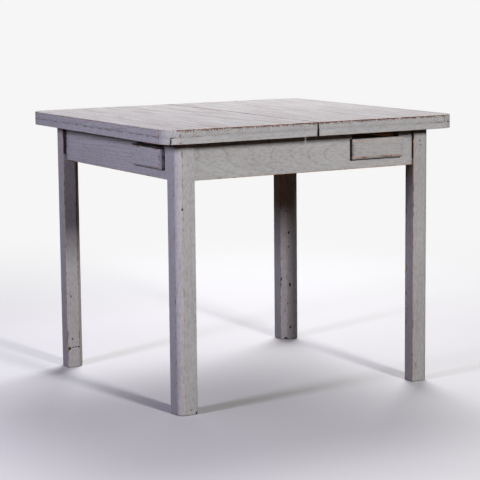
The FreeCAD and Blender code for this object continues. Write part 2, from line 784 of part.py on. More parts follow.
doc.recompute()
for item in doc.Objects:
    if "Invalid" in item.State or "Error" in item.State:
        raise RuntimeError(f"{item.Label} did not rebuild: {item.State}")
for body in nodes:
    if body.Shape.isNull() or not body.Shape.isValid():
        raise RuntimeError(f"{body.Label} has no valid shape")
os.makedirs("parts", exist_ok=True)
for body in nodes:
    body.Shape.exportStep(f"parts/{body.Label}.step")
print(f"{len(nodes)} nodes, {sum(len(body.Shape.Solids) for body in nodes)} solids")
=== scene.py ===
import json
import math
import random
from dataclasses import dataclass
from itertools import product

import bmesh
import bpy
import numpy as np
from bpy.props import FloatProperty, FloatVectorProperty, PointerProperty
from bpy.types import Operator, Panel, PropertyGroup
from mathutils import Matrix, Vector, noise


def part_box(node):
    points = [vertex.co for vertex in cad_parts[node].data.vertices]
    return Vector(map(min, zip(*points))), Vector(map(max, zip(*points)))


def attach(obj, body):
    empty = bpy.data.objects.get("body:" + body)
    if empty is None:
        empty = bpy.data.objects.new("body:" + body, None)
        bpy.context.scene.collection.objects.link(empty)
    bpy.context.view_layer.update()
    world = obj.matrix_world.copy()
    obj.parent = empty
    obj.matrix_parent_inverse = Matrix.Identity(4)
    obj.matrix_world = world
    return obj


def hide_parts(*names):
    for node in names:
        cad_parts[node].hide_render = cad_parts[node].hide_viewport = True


bl_info = {
    "name": "Pull-Apart Kitchen Table",
    "version": (1, 0, 0),
    "blender": (4, 5, 0),
    "location": "View3D > Sidebar > Table",
    "description": "Dresses a pull-apart kitchen table in worn grey paint and bare wood",
    "category": "Object",
}

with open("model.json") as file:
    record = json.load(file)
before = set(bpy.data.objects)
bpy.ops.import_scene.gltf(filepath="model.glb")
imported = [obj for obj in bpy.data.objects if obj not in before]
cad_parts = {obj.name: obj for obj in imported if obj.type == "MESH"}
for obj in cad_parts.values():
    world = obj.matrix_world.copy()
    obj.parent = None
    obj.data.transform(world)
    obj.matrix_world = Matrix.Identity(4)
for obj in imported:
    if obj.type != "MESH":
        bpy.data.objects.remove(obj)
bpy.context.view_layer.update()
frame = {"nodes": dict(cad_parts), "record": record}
NODES = frame["nodes"]
BODY_OF = {
    node: body
    for body, members in frame["record"]["behaviour"]["bodies"].items()
    for node in members
}

MM = 0.001
X, Y, Z = 0, 1, 2
BLACK = (0, 0, 0)
CORNERS = ("front_left", "front_right", "back_right", "back_left")
SIDES = ("front", "left", "back", "right")
HALVES = ("left", "right")
BOARDS = ("outer", "middle", "inner")
BATTENS = ("end", "near", "far")
DRAWER_PARTS = ("left_side", "right_side", "back", "bottom")

# How close to a face an edge's middle or a point lies to count as on it, and
# how close points lie to be one.
EDGE_ROOM = 1 * MM
POINT_ROOM = 0.1 * MM
WELD_ROOM = 0.01 * MM

# Edges that turn more than the first angle are rounded, those that turn more
# than the second are worn, and shading breaks past the third.
ROUNDED_ANGLE = math.radians(25)
WORN_ANGLE = math.radians(7)
SHADED_ANGLE = math.radians(50)
COPLANAR_ANGLE = math.radians(1)
ARC_STEPS = 16


# Settings


def linear(red, green, blue):
    """A colour for the shader from its 0 to 255 screen values."""

    def channel(value):
        share = value / 255
        return share / 12.92 if share <= 0.04045 else ((share + 0.055) / 1.055) ** 2.4

    return channel(red), channel(green), channel(blue)


def number(name, description, default, **kind):
    return FloatProperty(name=name, description=description, default=default, **kind)


def length(name, description, millimetres):
    return number(name, description, millimetres * MM, min=0, precision=4, unit="LENGTH")


def angle(name, description, degrees):
    return number(name, description, math.radians(degrees), unit="ROTATION")


def colour(name, description, *screen_values):
    return FloatVectorProperty(
        name=name, description=description, default=linear(*screen_values), min=0, max=1, subtype="COLOR"
    )


def share(name, description, default):
    return number(name, description, default, min=0, max=1, subtype="FACTOR")


def power(name, description, watts):
    return number(name, description, watts, min=0, unit="POWER")


class TableShape(PropertyGroup):
    """Sizes of the outlines and of the wear on them."""

    corner_cut: length("Top corner cut", "How much of each edge a rounded top corner takes", 42)
    corner_radius: length("Top corner radius", "Radius of the arc across a top corner", 48)
    batten_width: length("Batten width", "Width of the battens under the top's edges", 60)
    mitre_gap: length("Mitre gap", "Opening of the battens' mitres", 1.6)
    mitre_turn: angle("Mitre turn", "How far round its corner a mitre lies from the middle", 6.5)
    leg_cut: length("Leg corner cut", "How much of each face a leg's rounded corner takes", 17)
    leg_radius: length("Leg corner radius", "Radius of the arc across a leg's outer corner", 22)
    leg_chamfer: length("Leg chamfer", "Flat across a leg's inner corner", 15)
    foot_bevel: length("Foot bevel", "Bevel round the bottom of a leg", 2)
    drawer_lip: length("Drawer lip", "How far a drawer front laps over its opening", 8)
    front_bevel: length("Drawer front bevel", "Bevel round a drawer front", 5)
    front_lip: length("Drawer front thickness", "Thickness of the lip of a drawer front", 15)
    front_corner: length("Drawer front corner", "Rounding of a drawer front's corners", 2.5)
    dowel_play: length("Dowel play", "Room round a dowel in its hole", 0.3)
    top_arris: length("Top arris", "Rounding of the top's upper edges", 1.4)
    batten_arris: length("Batten arris", "Rounding of the battens' edges", 0.8)
    frame_arris: length("Frame arris", "Rounding of the legs' and aprons' edges", 1.2)
    front_arris: length("Drawer front arris", "Rounding of a drawer front's edges", 0.4)
    bare_arris: length("Bare arris", "Rounding of the unpainted pieces' edges", 0.7)
    wear_reach: length("Wear reach", "How far from an edge the paint is rubbed", 6)
    arris_wear: length("Arris wear", "How far use has rubbed the edges down", 0.5)
    chip_depth: length("Chip depth", "Depth of the deepest chips along the top's ends", 1.3)


class TableFinish(PropertyGroup):
    """Colours and strengths of the finishes."""

    paint: colour("Paint", "The grey paint", 176, 176, 175)
    streak: colour("Streak", "Brush marks and rubbed grain in the paint", 148, 145, 143)
    rubbed: colour("Rubbed top", "Where the top is rubbed thin along its grain", 130, 117, 111)
    wood: colour("Worn wood", "Wood that shows through at worn edges", 188, 138, 102)
    fresh: colour("Fresh chips", "Clean wood in the newest chips", 222, 166, 108)
    chip: colour("Chips", "Old dark wood in the chips", 82, 57, 45)
    # The grime colour is used for dirt, and also as painted shade in recesses, the seam and on the
    # drawers' lips.
    grime: colour("Grime", "Dirt in joints and corners", 46, 38, 37)
    steel: colour("Steel", "Screws", 120, 116, 112)
    rust: colour("Rust", "Old rust on the screws", 92, 56, 36)
    ring_spacing: length("Ring spacing", "Distance between growth rings", 6.4)
    paint_bump: length("Paint bump", "Height of the brush marks in the paint", 0.25)
    rust_bump: length("Rust bump", "Height of the rust on the screws", 0.1)
    paint_roughness: share("Paint roughness", "How dull the paint is", 0.8)
    paint_sheen: share("Paint sheen", "How much light the paint's skin throws back", 0.05)


class TableStage(PropertyGroup):
    """The floor, the light and the camera."""

    floor: colour("Floor", "The floor as the camera sees it", 200, 199, 198)
    bounce: colour("Floor bounce", "The floor as it lights the table", 74, 52, 38)
    background: colour("Background", "The backdrop far from the table", 246, 246, 246)
    ambient: colour("Ambient", "Light from all round", 27, 26, 26)
    key_colour: colour("Front light colour", "Tint of the front light", 254, 252, 254)
    fill_colour: colour("Left light colour", "Tint of the left light", 228, 225, 255)
    top_colour: colour("Top light colour", "Tint of the top light", 250, 250, 255)
    key_power: power("Front light", "Power of the soft light in front", 266)
    fill_power: power("Left light", "Power of the soft light on the left", 74)
    top_power: power("Top light", "Power of the soft light overhead", 170)
    back_power: power("Back panel", "Power of the pale panel behind the table", 24)
    lens: number("Lens", "Focal length of the camera", 131.2, min=1, unit="CAMERA")


# Shader expressions

SEEING_RAYS = ("Camera", "Glossy", "Transmission")


class Signal:
    """A socket of a finish, on which sums add Math nodes."""

    def __init__(self, finish, socket):
        self.finish = finish
        self.socket = socket

    def math(self, operation, *values):
        return self.finish.node("ShaderNodeMath", {"operation": operation}, dict(enumerate(values)))

    def __add__(self, other):
        return self.math("ADD", self, other)

    __radd__ = __add__

    def __sub__(self, other):
        return self.math("SUBTRACT", self, other)

    def __rsub__(self, other):
        return self.math("SUBTRACT", other, self)

    def __mul__(self, other):
        return self.math("MULTIPLY", self, other)

    __rmul__ = __mul__

    def __truediv__(self, other):
        return self.math("DIVIDE", self, other)

    def __rtruediv__(self, other):
        return self.math("DIVIDE", other, self)

    def __pow__(self, other):
        return self.math("POWER", self, other)

    def least(self, other):
        return self.math("MINIMUM", self, other)

    def fraction(self):
        return self.math("FRACT", self)

    def rise(self, low, high):
        """A smooth step from 0 at low to 1 at high."""
        settings = {"interpolation_type": "SMOOTHSTEP"}
        return self.finish.node("ShaderNodeMapRange", settings, {"Value": self, 1: low, 2: high})


class Finish:
    """A material or a world whose nodes are added by expressions."""

    def __init__(self, owner):
        self.owner = owner
        owner.use_nodes = True
        self.tree = owner.node_tree
        self.tree.nodes.clear()

    def node(self, kind, settings, inputs, output=0):
        """Add a node, set it up, then fill or link its sockets."""
        node = self.tree.nodes.new(kind)
        for key, value in settings.items():
            setattr(node, key, value)
        for key, value in inputs.items():
            socket = node.inputs[key]
            if isinstance(value, Signal):
                self.tree.links.new(value.socket, socket)
            elif socket.type == "RGBA":
                socket.default_value = (*value[:3], 1)
            else:
                socket.default_value = value
        return Signal(self, node.outputs[output]) if node.outputs else None

    def attribute(self, name, output="Fac"):
        return self.node("ShaderNodeAttribute", {"attribute_name": name}, {}, output)

    def mix(self, factor, first, second):
        """A colour between two colours."""
        settings = {"data_type": "RGBA", "clamp_factor": True}
        return self.node("ShaderNodeMix", settings, {0: factor, 6: first, 7: second}, 2)

    def vector(self, operation, first, second):
        return self.node("ShaderNodeVectorMath", {"operation": operation}, {0: first, 1: second})

    def distance(self, place):
        """How far a place is from the origin."""
        return self.node("ShaderNodeVectorMath", {"operation": "LENGTH"}, {0: place}, "Value")

    def noise(self, place, cells, detail=2, roughness=0.5, output=0):
        """Smooth noise with so many cells to the metre along each axis."""
        stretched = self.vector("MULTIPLY", place, cells)
        sockets = {"Vector": stretched, "Scale": 1, "Detail": detail, "Roughness": roughness}
        return self.node("ShaderNodeTexNoise", {}, sockets, output)

    def bump(self, height, distance, strength):
        sockets = {"Height": height, "Distance": distance, "Strength": strength}
        return self.node("ShaderNodeBump", {}, sockets)

    def seen(self):
        """1 where the eye looks, straight or by a reflection or through glass, and 0 for light."""
        rays = [self.node("ShaderNodeLightPath", {}, {}, f"Is {ray} Ray") for ray in SEEING_RAYS]
        return sum(rays).least(1)

    def surface(self, sockets):
        """A material's whole surface from the sockets of one shader."""
        shader = self.node("ShaderNodeBsdfPrincipled", {}, sockets)
        self.node("ShaderNodeOutputMaterial", {}, {"Surface": shader})
        return self.owner


def growth_rings(finish, grain, spacing):
    """Late wood, from 0 to 1, round a pith that lies along the grain."""
    drift = finish.noise(grain, (9, 1.6, 9), output=1)
    drift = finish.vector("SUBTRACT", drift, (0.5, 0.5, 0.5))
    place = finish.vector("ADD", grain, finish.vector("MULTIPLY", drift, (0.03, 0, 0.03)))
    radius = finish.distance(finish.vector("MULTIPLY", place, (1, 0, 1)))
    unevenness = finish.noise(grain, (60, 2, 60), detail=1)
    phase = (radius / spacing + 0.2 * unevenness).fraction()
    return phase.rise(0.6, 0.92) * (1 - phase.rise(0.94, 1.0))


def painted_finish(name, settings):
    """Grey paint, brushed along the grain, rubbed through at the edges."""
    finish = Finish(bpy.data.materials.new(name))
    grain = finish.attribute("grain", "Vector")
    arris = finish.attribute("arris")
    end = finish.attribute("end").rise(0.5, 0.85)
    late = growth_rings(finish, grain, settings.ring_spacing)
    line = late**6
    brush = finish.noise(grain, (260, 5, 260), 3, 0.6)
    cloud = finish.noise(grain, (14, 4, 14), 3)
    streak = finish.noise(grain, (85, 3.2, 85), 4, 0.65)
    strand = finish.noise(grain, (430, 7, 430), 3, 0.6)
    mottle = finish.noise(grain, (210, 70, 210), 3, 0.65)
    broken = finish.noise(grain, (75, 22, 75), 4, 0.7)

    # Brush marks, mottles and thin patches.
    patch = cloud.rise(0.35, 0.65)
    shade = 0.3 * brush.rise(0.3, 0.75) + 0.62 * mottle.rise(0.4, 0.66) + 0.26 * (1 - patch)
    tone = finish.mix(shade * 0.75, settings.paint, settings.streak)

    # Growth rings, in dark groups on the end grain.
    group = finish.noise(grain, (8, 0, 26)).rise(0.46, 0.6)
    figure = finish.attribute("figure") * 0.42 * line + end * (0.2 * line + 0.7 * group * late**1.5)
    tone = finish.mix(broken.rise(0.25, 0.55) * figure, tone, settings.chip)

    # The top, rubbed thin along its grain.
    thin = streak.rise(0.44, 0.62) * 0.5 + strand.rise(0.44, 0.62) * 0.25 + line * 0.4
    tone = finish.mix(finish.attribute("rub") * thin, tone, settings.rubbed)

    # Wood at the worn edges, dark where it is old, ragged on the end grain.
    tick = finish.noise(grain, (60, 0, 420)) - 0.5
    edge = arris * 0.8 + broken * 0.55 + cloud * 0.2 + mottle * 0.25 + 2.2 * tick * end
    worn = edge.rise(1.06, 1.22)
    dark = 0.5 * mottle + 0.5 * broken + 0.13 * end
    wood = finish.mix(0.95 * dark.rise(0.5, 0.6), settings.wood, settings.chip)
    tone = finish.mix(worn * 0.84, tone, wood)

    # Dirt and painted shade, a thin film with blacker blots: the grime mark holds real dirt and also
    # shade painted into recesses, the seam and the drawers' lips.
    grime = finish.attribute("grime")
    dirt_and_shade_film = (grime * 0.8 + broken * 0.6 + mottle * 0.1).rise(0.94, 1.12)
    tone = finish.mix(dirt_and_shade_film * 0.7 + grime * 0.22, tone, settings.grime)

    # Old chips and fresh ones, with ragged rims.
    ragged = 0.9 * (broken - 0.5) + 0.7 * (mottle - 0.5)
    chip = finish.attribute("chip")
    chipped = (chip + ragged * chip.rise(0, 0.2)).rise(0.25, 0.6)
    hollow = finish.mix(chip.rise(0.58, 0.92), settings.chip, settings.grime)
    tone = finish.mix(chipped, tone, hollow)
    fresh = finish.attribute("fresh")
    flaked = (fresh + ragged * fresh.rise(0, 0.2)).rise(0.3, 0.6)
    tone = finish.mix(flaked, tone, settings.fresh)

    height = brush * 0.35 + mottle * 0.3 - late * 0.35 - worn * 0.8
    return finish.surface(
        {
            "Base Color": tone,
            "Roughness": settings.paint_roughness + 0.16 * worn + 0.1 * (brush - 0.5),
            "Specular IOR Level": settings.paint_sheen,
            "Normal": finish.bump(height, settings.paint_bump, 0.5),
        }
    )


def steel_finish(name, settings):
    """Dull steel with old rust."""
    finish = Finish(bpy.data.materials.new(name))
    cloud = finish.noise(finish.attribute("grain", "Vector"), (420, 420, 420), 4)
    rust = cloud.rise(0.45, 0.62)
    return finish.surface(
        {
            "Base Color": finish.mix(rust, settings.steel, settings.rust),
            "Roughness": 0.38 + 0.4 * rust,
            "Metallic": 0.95 - 0.8 * rust,
            "Normal": finish.bump(cloud, settings.rust_bump, 0.5),
        }
    )


# What makes the finishes. Bare wood and panels aren't listed: they keep the plain
# materials of the same names that come with the frame.
MAKERS = {"worn_grey_paint": painted_finish, "rusty_steel": steel_finish}


def finish_named(name):
    """A material that comes with the frame or is made the first time it is asked for."""
    return bpy.data.materials.get(name) or MAKERS[name](name, bpy.context.scene.table_finish)


# Solids


def point_at(places):
    """A point from its places along some axes, and 0 along the others."""
    return [places.get(axis, 0) for axis in (X, Y, Z)]


def arc(centre, radius, start, end):
    """Points round a centre, from one angle to another, in degrees."""
    angles = [math.radians(start + (end - start) * i / ARC_STEPS) for i in range(ARC_STEPS + 1)]
    return [(centre[0] + radius * math.cos(a), centre[1] + radius * math.sin(a)) for a in angles]


def corner_centre(cut, radius):
    """How far inside both edges the arc's centre is, for a corner cut by an arc."""
    return (cut + math.sqrt(2 * radius**2 - cut**2)) / 2


def corner_sweep(cut, radius):
    """How far the arc across a corner turns to each side of its middle, in degrees."""
    return math.degrees(math.asin(cut / math.sqrt(2) / radius))


def skinned(solid, rings):
    """Close a stack of rings into a solid, and give its first and last faces."""
    for lower, upper in zip(rings, rings[1:]):
        for i in range(len(lower)):
            after = (i + 1) % len(lower)
            solid.faces.new((lower[i], lower[after], upper[after], upper[i]))
    return solid.faces.new(rings[0]), solid.faces.new(rings[-1])


def swept(outline, plane, axis, low, high):
    """A closed solid: an outline in a plane's two axes, swept along the third."""
    solid = bmesh.new()
    rings = [
        [solid.verts.new(point_at({plane[0]: u, plane[1]: v, axis: level})) for u, v in outline]
        for level in (low, high)
    ]
    skinned(solid, rings)
    bmesh.ops.recalc_face_normals(solid, faces=solid.faces[:])
    return solid


def turned_solid(solid, axis, centre, profile, sides, flute=0.0):
    """Add a turned bar to a mesh: rings of (place along the axis, radius), closed at both ends."""
    across, depth = (axis + 1) % 3, (axis + 2) % 3
    rings = []
    for place, radius in profile:
        ring = []
        for i in range(sides):
            turn = 2 * math.pi * i / sides
            reach = radius - flute * (i % 2)
            u = centre[across] + reach * math.cos(turn)
            v = centre[depth] + reach * math.sin(turn)
            ring.append(solid.verts.new(point_at({axis: place, across: u, depth: v})))
        rings.append(ring)
    return skinned(solid, rings)


def from_node(node):
    """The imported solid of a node, welded, with its flat faces whole."""
    solid = bmesh.new()
    solid.from_mesh(NODES[node].data)
    bmesh.ops.remove_doubles(solid, verts=solid.verts[:], dist=WELD_ROOM)
    bmesh.ops.dissolve_limit(
        solid, angle_limit=COPLANAR_ANGLE, verts=solid.verts[:], edges=solid.edges[:]
    )
    return solid


def islands(node):
    """The boxes of a node's separate solids."""
    solid = from_node(node)
    left = set(solid.verts)
    boxes = []
    while left:
        queue = [left.pop()]
        found = []
        while queue:
            vert = queue.pop()
            found.append(np.array(vert.co))
            for edge in vert.link_edges:
                other = edge.other_vert(vert)
                if other in left:
                    left.remove(other)
                    queue.append(other)
        boxes.append((np.min(found, axis=0), np.max(found, axis=0)))
    solid.free()
    return sorted(boxes, key=lambda box: tuple(box[0]))


def placed(name, mesh_name, solid):
    """An object in the scene, made of a solid, which is used up."""
    mesh = bpy.data.meshes.new(mesh_name)
    solid.to_mesh(mesh)
    solid.free()
    item = bpy.data.objects.new(name, mesh)
    bpy.context.scene.collection.objects.link(item)
    return item


def bevel(solid, edges, offset, segments, **options):
    bmesh.ops.bevel(
        solid, geom=edges, offset=offset, segments=segments, profile=0.5, affect="EDGES", **options
    )


def slice_up(solid, axis, places):
    """Cut the faces, but not the solid, by planes across an axis."""
    for place in places:
        bmesh.ops.bisect_plane(
            solid,
            geom=solid.verts[:] + solid.edges[:] + solid.faces[:],
            dist=WELD_ROOM,
            plane_co=point_at({axis: place}),
            plane_no=point_at({axis: 1}),
        )


def steps(low, high, spacing):
    """Places between two ends, about a spacing apart."""
    count = max(1, round((high - low) / spacing))
    return [low + (high - low) * i / count for i in range(1, count)]


# Grain and wear

# How fine the unevenness of the rubbed edges is, in cells to the metre.
WEAR_CELLS = 38

# How steep a bite's wall is, how dark the shallowest chip is, and the depth
# over which chips go from there to black.
BITE_STEEPNESS = 1.6
LEAST_CHIP_SHARE = 0.45
BLACK_CHIP_DEPTH = 3 * MM

# Where a bite gets points to push in, as shares of its reach.
BITE_SHARES = (-1, -0.5, 0, 0.5, 1)

FRESH = True


@dataclass
class Grain:
    """How a piece lies in its log: the axis of its grain, and where the pith is.

    pith is the pith's place beside the piece's middle, lean is how far it drifts
    for each metre along the grain, and figure is how well the rings show.
    """

    axis: int
    pith: tuple = (0.03, 0.05)
    lean: tuple = (0.0, 0.0)
    seed: int = 0
    figure: float = 0.25


@dataclass
class Bite:
    """A dent or a chip: its place, its reach along each axis and its depth."""

    place: tuple
    reach: tuple
    depth: float
    fresh: bool = False


def millimetre_bites(*rows):
    """Bites from rows of place, reach and depth in millimetres, and FRESH for the newest."""
    return tuple(
        Bite(np.array(place) * MM, np.array(reach) * MM, depth * MM, *fresh)
        for place, reach, depth, *fresh in rows
    )


def everywhere(middles, directions):
    return np.ones(len(middles))


def nowhere(middles, directions):
    return np.zeros(len(middles))


def untouched(points):
    return np.zeros(len(points))


@dataclass
class Wear:
    """How a piece's edges are rounded, rubbed, dirtied and darkened with painted shade, and what is
    bitten out of it.

    worn and edge_dirt_and_shade give each edge a share, from its middle and direction, and
    closed picks the edges that lie against another piece and stay sharp.
    rubbed, scuffed and point_dirt_and_shade give each point a share of thin paint, of bare
    wood and of dirt and painted shade, whatever edges are near.
    """

    radius: float
    worn: object = everywhere
    edge_dirt_and_shade: object = nowhere
    closed: object = nowhere
    rubbed: object = untouched
    scuffed: object = untouched
    point_dirt_and_shade: object = untouched
    bites: tuple = ()
    segments: int = 2


def fade(distance, reach):
    """From 1 at no distance to 0 at a reach and beyond."""
    return np.clip(1 - distance / reach, 0, 1)


def along_axis(directions, axis):
    """Which edges run along an axis."""
    return np.abs(directions[:, axis]) > 0.9


def turned_edges(solid, least_angle):
    return [edge for edge in solid.edges if edge.is_manifold and edge.calc_face_angle() > least_angle]


def ends_of(edges):
    """The two ends of each edge."""
    return np.array([[vert.co for vert in edge.verts] for edge in edges], float).reshape(-1, 2, 3)


def middles_of(lines):
    """The middle and the direction of each line."""
    along = lines[:, 1] - lines[:, 0]
    size = np.maximum(np.linalg.norm(along, axis=1), 1e-9)
    return lines.mean(axis=1), along / size[:, None]


def nearness(points, lines, weights, reach):
    """How near each point is to the nearest weighted line, from 1 on it to 0 at reach."""
    found = np.zeros(len(points))
    for (start, end), weight in zip(lines, weights):
        if weight <= 0:
            continue
        along = end - start
        reached = np.clip((points - start) @ along / max(along @ along, 1e-12), 0, 1)
        gap = np.linalg.norm(points - start - reached[:, None] * along, axis=1)
        found = np.maximum(found, weight * fade(gap, reach))
    return found


def roughly(points, scale, seed):
    """Smooth noise from 0 to 1 at each point."""
    offset = Vector((seed * 3.7, seed * 1.9, seed * 5.3))
    return np.array([0.5 + 0.5 * noise.noise(Vector(point) * scale + offset) for point in points])


def grain_places(points, grain):
    """Each point as across, along and into the log."""
    middle = (points.min(0) + points.max(0)) / 2
    local = points - middle
    along = local[:, grain.axis]
    across = local[:, (grain.axis + 1) % 3] - grain.pith[0] - grain.lean[0] * along
    depth = local[:, (grain.axis + 2) % 3] - grain.pith[1] - grain.lean[1] * along
    return np.stack([across, along + grain.seed * 2.3, depth], axis=1)


def soften(solid, wear):
    """Round off the edges that turn sharply, apart from those closed on another piece."""
    edges = turned_edges(solid, ROUNDED_ANGLE)
    closed = wear.closed(*middles_of(ends_of(edges)))
    opened = [edge for edge, shut in zip(edges, closed) if not shut]
    bevel(solid, opened, wear.radius, wear.segments, clamp_overlap=True, loop_slide=True)


def with_bites(cuts, bites, axes):
    """Cuts with more planes round each bite, so that it has points to push in."""
    for axis in axes:
        for bite in bites:
            cuts[axis] += [bite.place[axis] + part * bite.reach[axis] for part in BITE_SHARES]
    return cuts


def write_attribute(mesh, name, values):
    kind = "FLOAT_VECTOR" if values.ndim == 2 else "FLOAT"
    key = "vector" if values.ndim == 2 else "value"
    attribute = mesh.attributes.new(name, kind, "POINT")
    attribute.data.foreach_set(key, np.ascontiguousarray(values, np.float32).ravel())


def add_piece(node, solid, grain, wear, cuts=None, bare=None, finish="worn_grey_paint"):
    """Wear a solid down, give it its finish and let it stand for a node.

    cuts gives the planes, by axis, that divide its faces. bare(middle, normal)
    picks the faces that were never painted.
    """
    shape = bpy.context.scene.table_shape
    lines = ends_of(turned_edges(solid, WORN_ANGLE))
    worn = wear.worn(*middles_of(lines))
    edge_dirt_and_shade = wear.edge_dirt_and_shade(*middles_of(lines))
    soften(solid, wear)
    for axis, places in (cuts or {}).items():
        slice_up(solid, axis, places)
    bmesh.ops.recalc_face_normals(solid, faces=solid.faces[:])
    solid.normal_update()
    points = np.array([vert.co for vert in solid.verts], float)
    normals = np.array([vert.normal for vert in solid.verts], float)
    marks = {
        "grain": grain_places(points, grain),
        "end": np.abs(normals[:, grain.axis]),
        "figure": np.full(len(points), grain.figure),
        "arris": np.maximum(nearness(points, lines, worn, shape.wear_reach), wear.scuffed(points)),
        # The grime mark: dirt, and also shade painted into recesses, the seam and the drawers' lips.
        "grime": np.maximum(nearness(points, lines, edge_dirt_and_shade, shape.wear_reach), wear.point_dirt_and_shade(points)),
        "rub": wear.rubbed(points),
        "chip": untouched(points),
        "fresh": untouched(points),
    }
    depth = nearness(points, lines, worn, 2 * wear.radius) * shape.arris_wear
    depth = depth * roughly(points, WEAR_CELLS, grain.seed)
    for bite in wear.bites:
        away = np.linalg.norm((points - bite.place) / bite.reach, axis=1)
        bitten = np.clip(BITE_STEEPNESS * (1 - away), 0, 1)
        mark = "fresh" if bite.fresh else "chip"
        darkness = min(1, LEAST_CHIP_SHARE + bite.depth / BLACK_CHIP_DEPTH)
        marks[mark] = np.maximum(marks[mark], bitten * darkness)
        depth = np.maximum(depth, bite.depth * bitten)
    for vert, point in zip(solid.verts, points - normals * depth[:, None]):
        vert.co = point
    for face in solid.faces:
        face.smooth = True
        face.material_index = 1 if bare and bare(face.calc_center_median(), face.normal) else 0
    piece = placed(f"worn_{node}", f"{node}_mesh", solid)
    mesh = piece.data
    mesh.set_sharp_from_angle(angle=SHADED_ANGLE)
    mesh.materials.append(finish_named(finish))
    if bare:
        mesh.materials.append(finish_named("bare_wood"))
    for name, values in marks.items():
        write_attribute(mesh, name, values)
    piece.modifiers.new("even_shading", "WEIGHTED_NORMAL").keep_sharp = True
    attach(piece, BODY_OF[node])
    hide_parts(node)


def inset(low, high, axis, reach):
    """Two cuts across an axis, a reach inside both ends of a box."""
    return [low[axis] + reach, high[axis] - reach]


# Legs and aprons

# Nail holes, dents and chips on the legs, in millimetres.
LEG_BITES = {
    "front_left": millimetre_bites(
        ((-389, -379, 552), (3, 3, 4.5), 2),
        ((-402, -364, 322), (2.5, 2.5, 3), 1),
        ((-371, -379, 14), (5, 4, 3), 1),
        ((-352, -379, 4), (6, 5, 6), 1.5),
    ),
    "front_right": millimetre_bites(
        ((350, -379, 690), (4, 4, 8), 2.5, FRESH),
        ((350, -379, 703), (4, 4, 9), 3),
        ((371, -379, 692), (2.5, 3, 3.5), 1),
        ((373, -379, 680), (2.5, 3, 3), 1),
    ),
    "back_right": millimetre_bites(
        ((365, 325, 415), (4, 4, 6), 1),
        ((374, 325, 346), (5, 4, 6), 3),
        ((372, 325, 301), (3, 3, 4), 2),
        ((353, 337, 262), (3, 3, 4), 1),
        ((351, 339, 196), (4, 5, 9), 2),
        ((352, 341, 178), (3, 4, 11), 2),
        ((377, 325, 177), (5, 4, 9), 2),
        ((368, 325, 117), (3, 3, 4), 1),
        ((360, 330, 93), (2.5, 3, 3), 1),
        ((377, 325, 40), (5, 4, 10), 1),
        ((362, 328, 3), (9, 8, 7), 2),
    ),
    "back_left": millimetre_bites(
        ((-398, 325, 58), (6, 4, 6), 2),
        ((-386.5, 325, 61), (4, 3, 3), 1.5),
        ((-378, 325, 61), (3.5, 3, 2.8), 1.5),
        ((-369, 325, 61), (5, 3, 2.8), 1.5),
        ((-390, 325, 216), (2.5, 3, 5), 1.5),
        ((-388, 325, 87), (4, 3, 5), 1),
    ),
}

# How worn each leg is: the ends of its rounded corner on its front or back
# face and on its side face, then its other upright edges. Level edges are
# worn alike on all four.
LEG_WEAR = {
    "front_left": (0.86, 0.8, 0.8),
    "front_right": (0.5, 0.5, 1.12),
    "back_right": (0.6, 0.6, 0.95),
    "back_left": (0.6, 0.6, 1.0),
}
LEVEL_LEG_WEAR = 0.4

# How much painted shade darkens each leg, at its top and at its foot, how far up
# the painted shade from the foot reaches, and how dirty the edge on the floor is.
LEG_SHADE = {
    "front_left": (0, 0.5),
    "front_right": (0.3, 0.75),
    "back_right": (0.1, 0.5),
    "back_left": (0.45, 0.5),
}
FOOT_SHADE_REACH = 400 * MM
FOOT_EDGE_DIRT = 0.9

# How far above the aprons' lower edge the painted shade beside them ends.
RECESS_END = 6 * MM


def leg_outline(low, high, shape):
    """A leg seen from above, with its rounded corner towards low x and low y."""
    centre = corner_centre(shape.leg_cut, shape.leg_radius)
    sweep = corner_sweep(shape.leg_cut, shape.leg_radius)
    around = arc((low[X] + centre, low[Y] + centre), shape.leg_radius, 225 - sweep, 225 + sweep)
    return around + [
        (high[X], low[Y]),
        (high[X], high[Y] - shape.leg_chamfer),
        (high[X] - shape.leg_chamfer, high[Y]),
        (low[X], high[Y]),
    ]


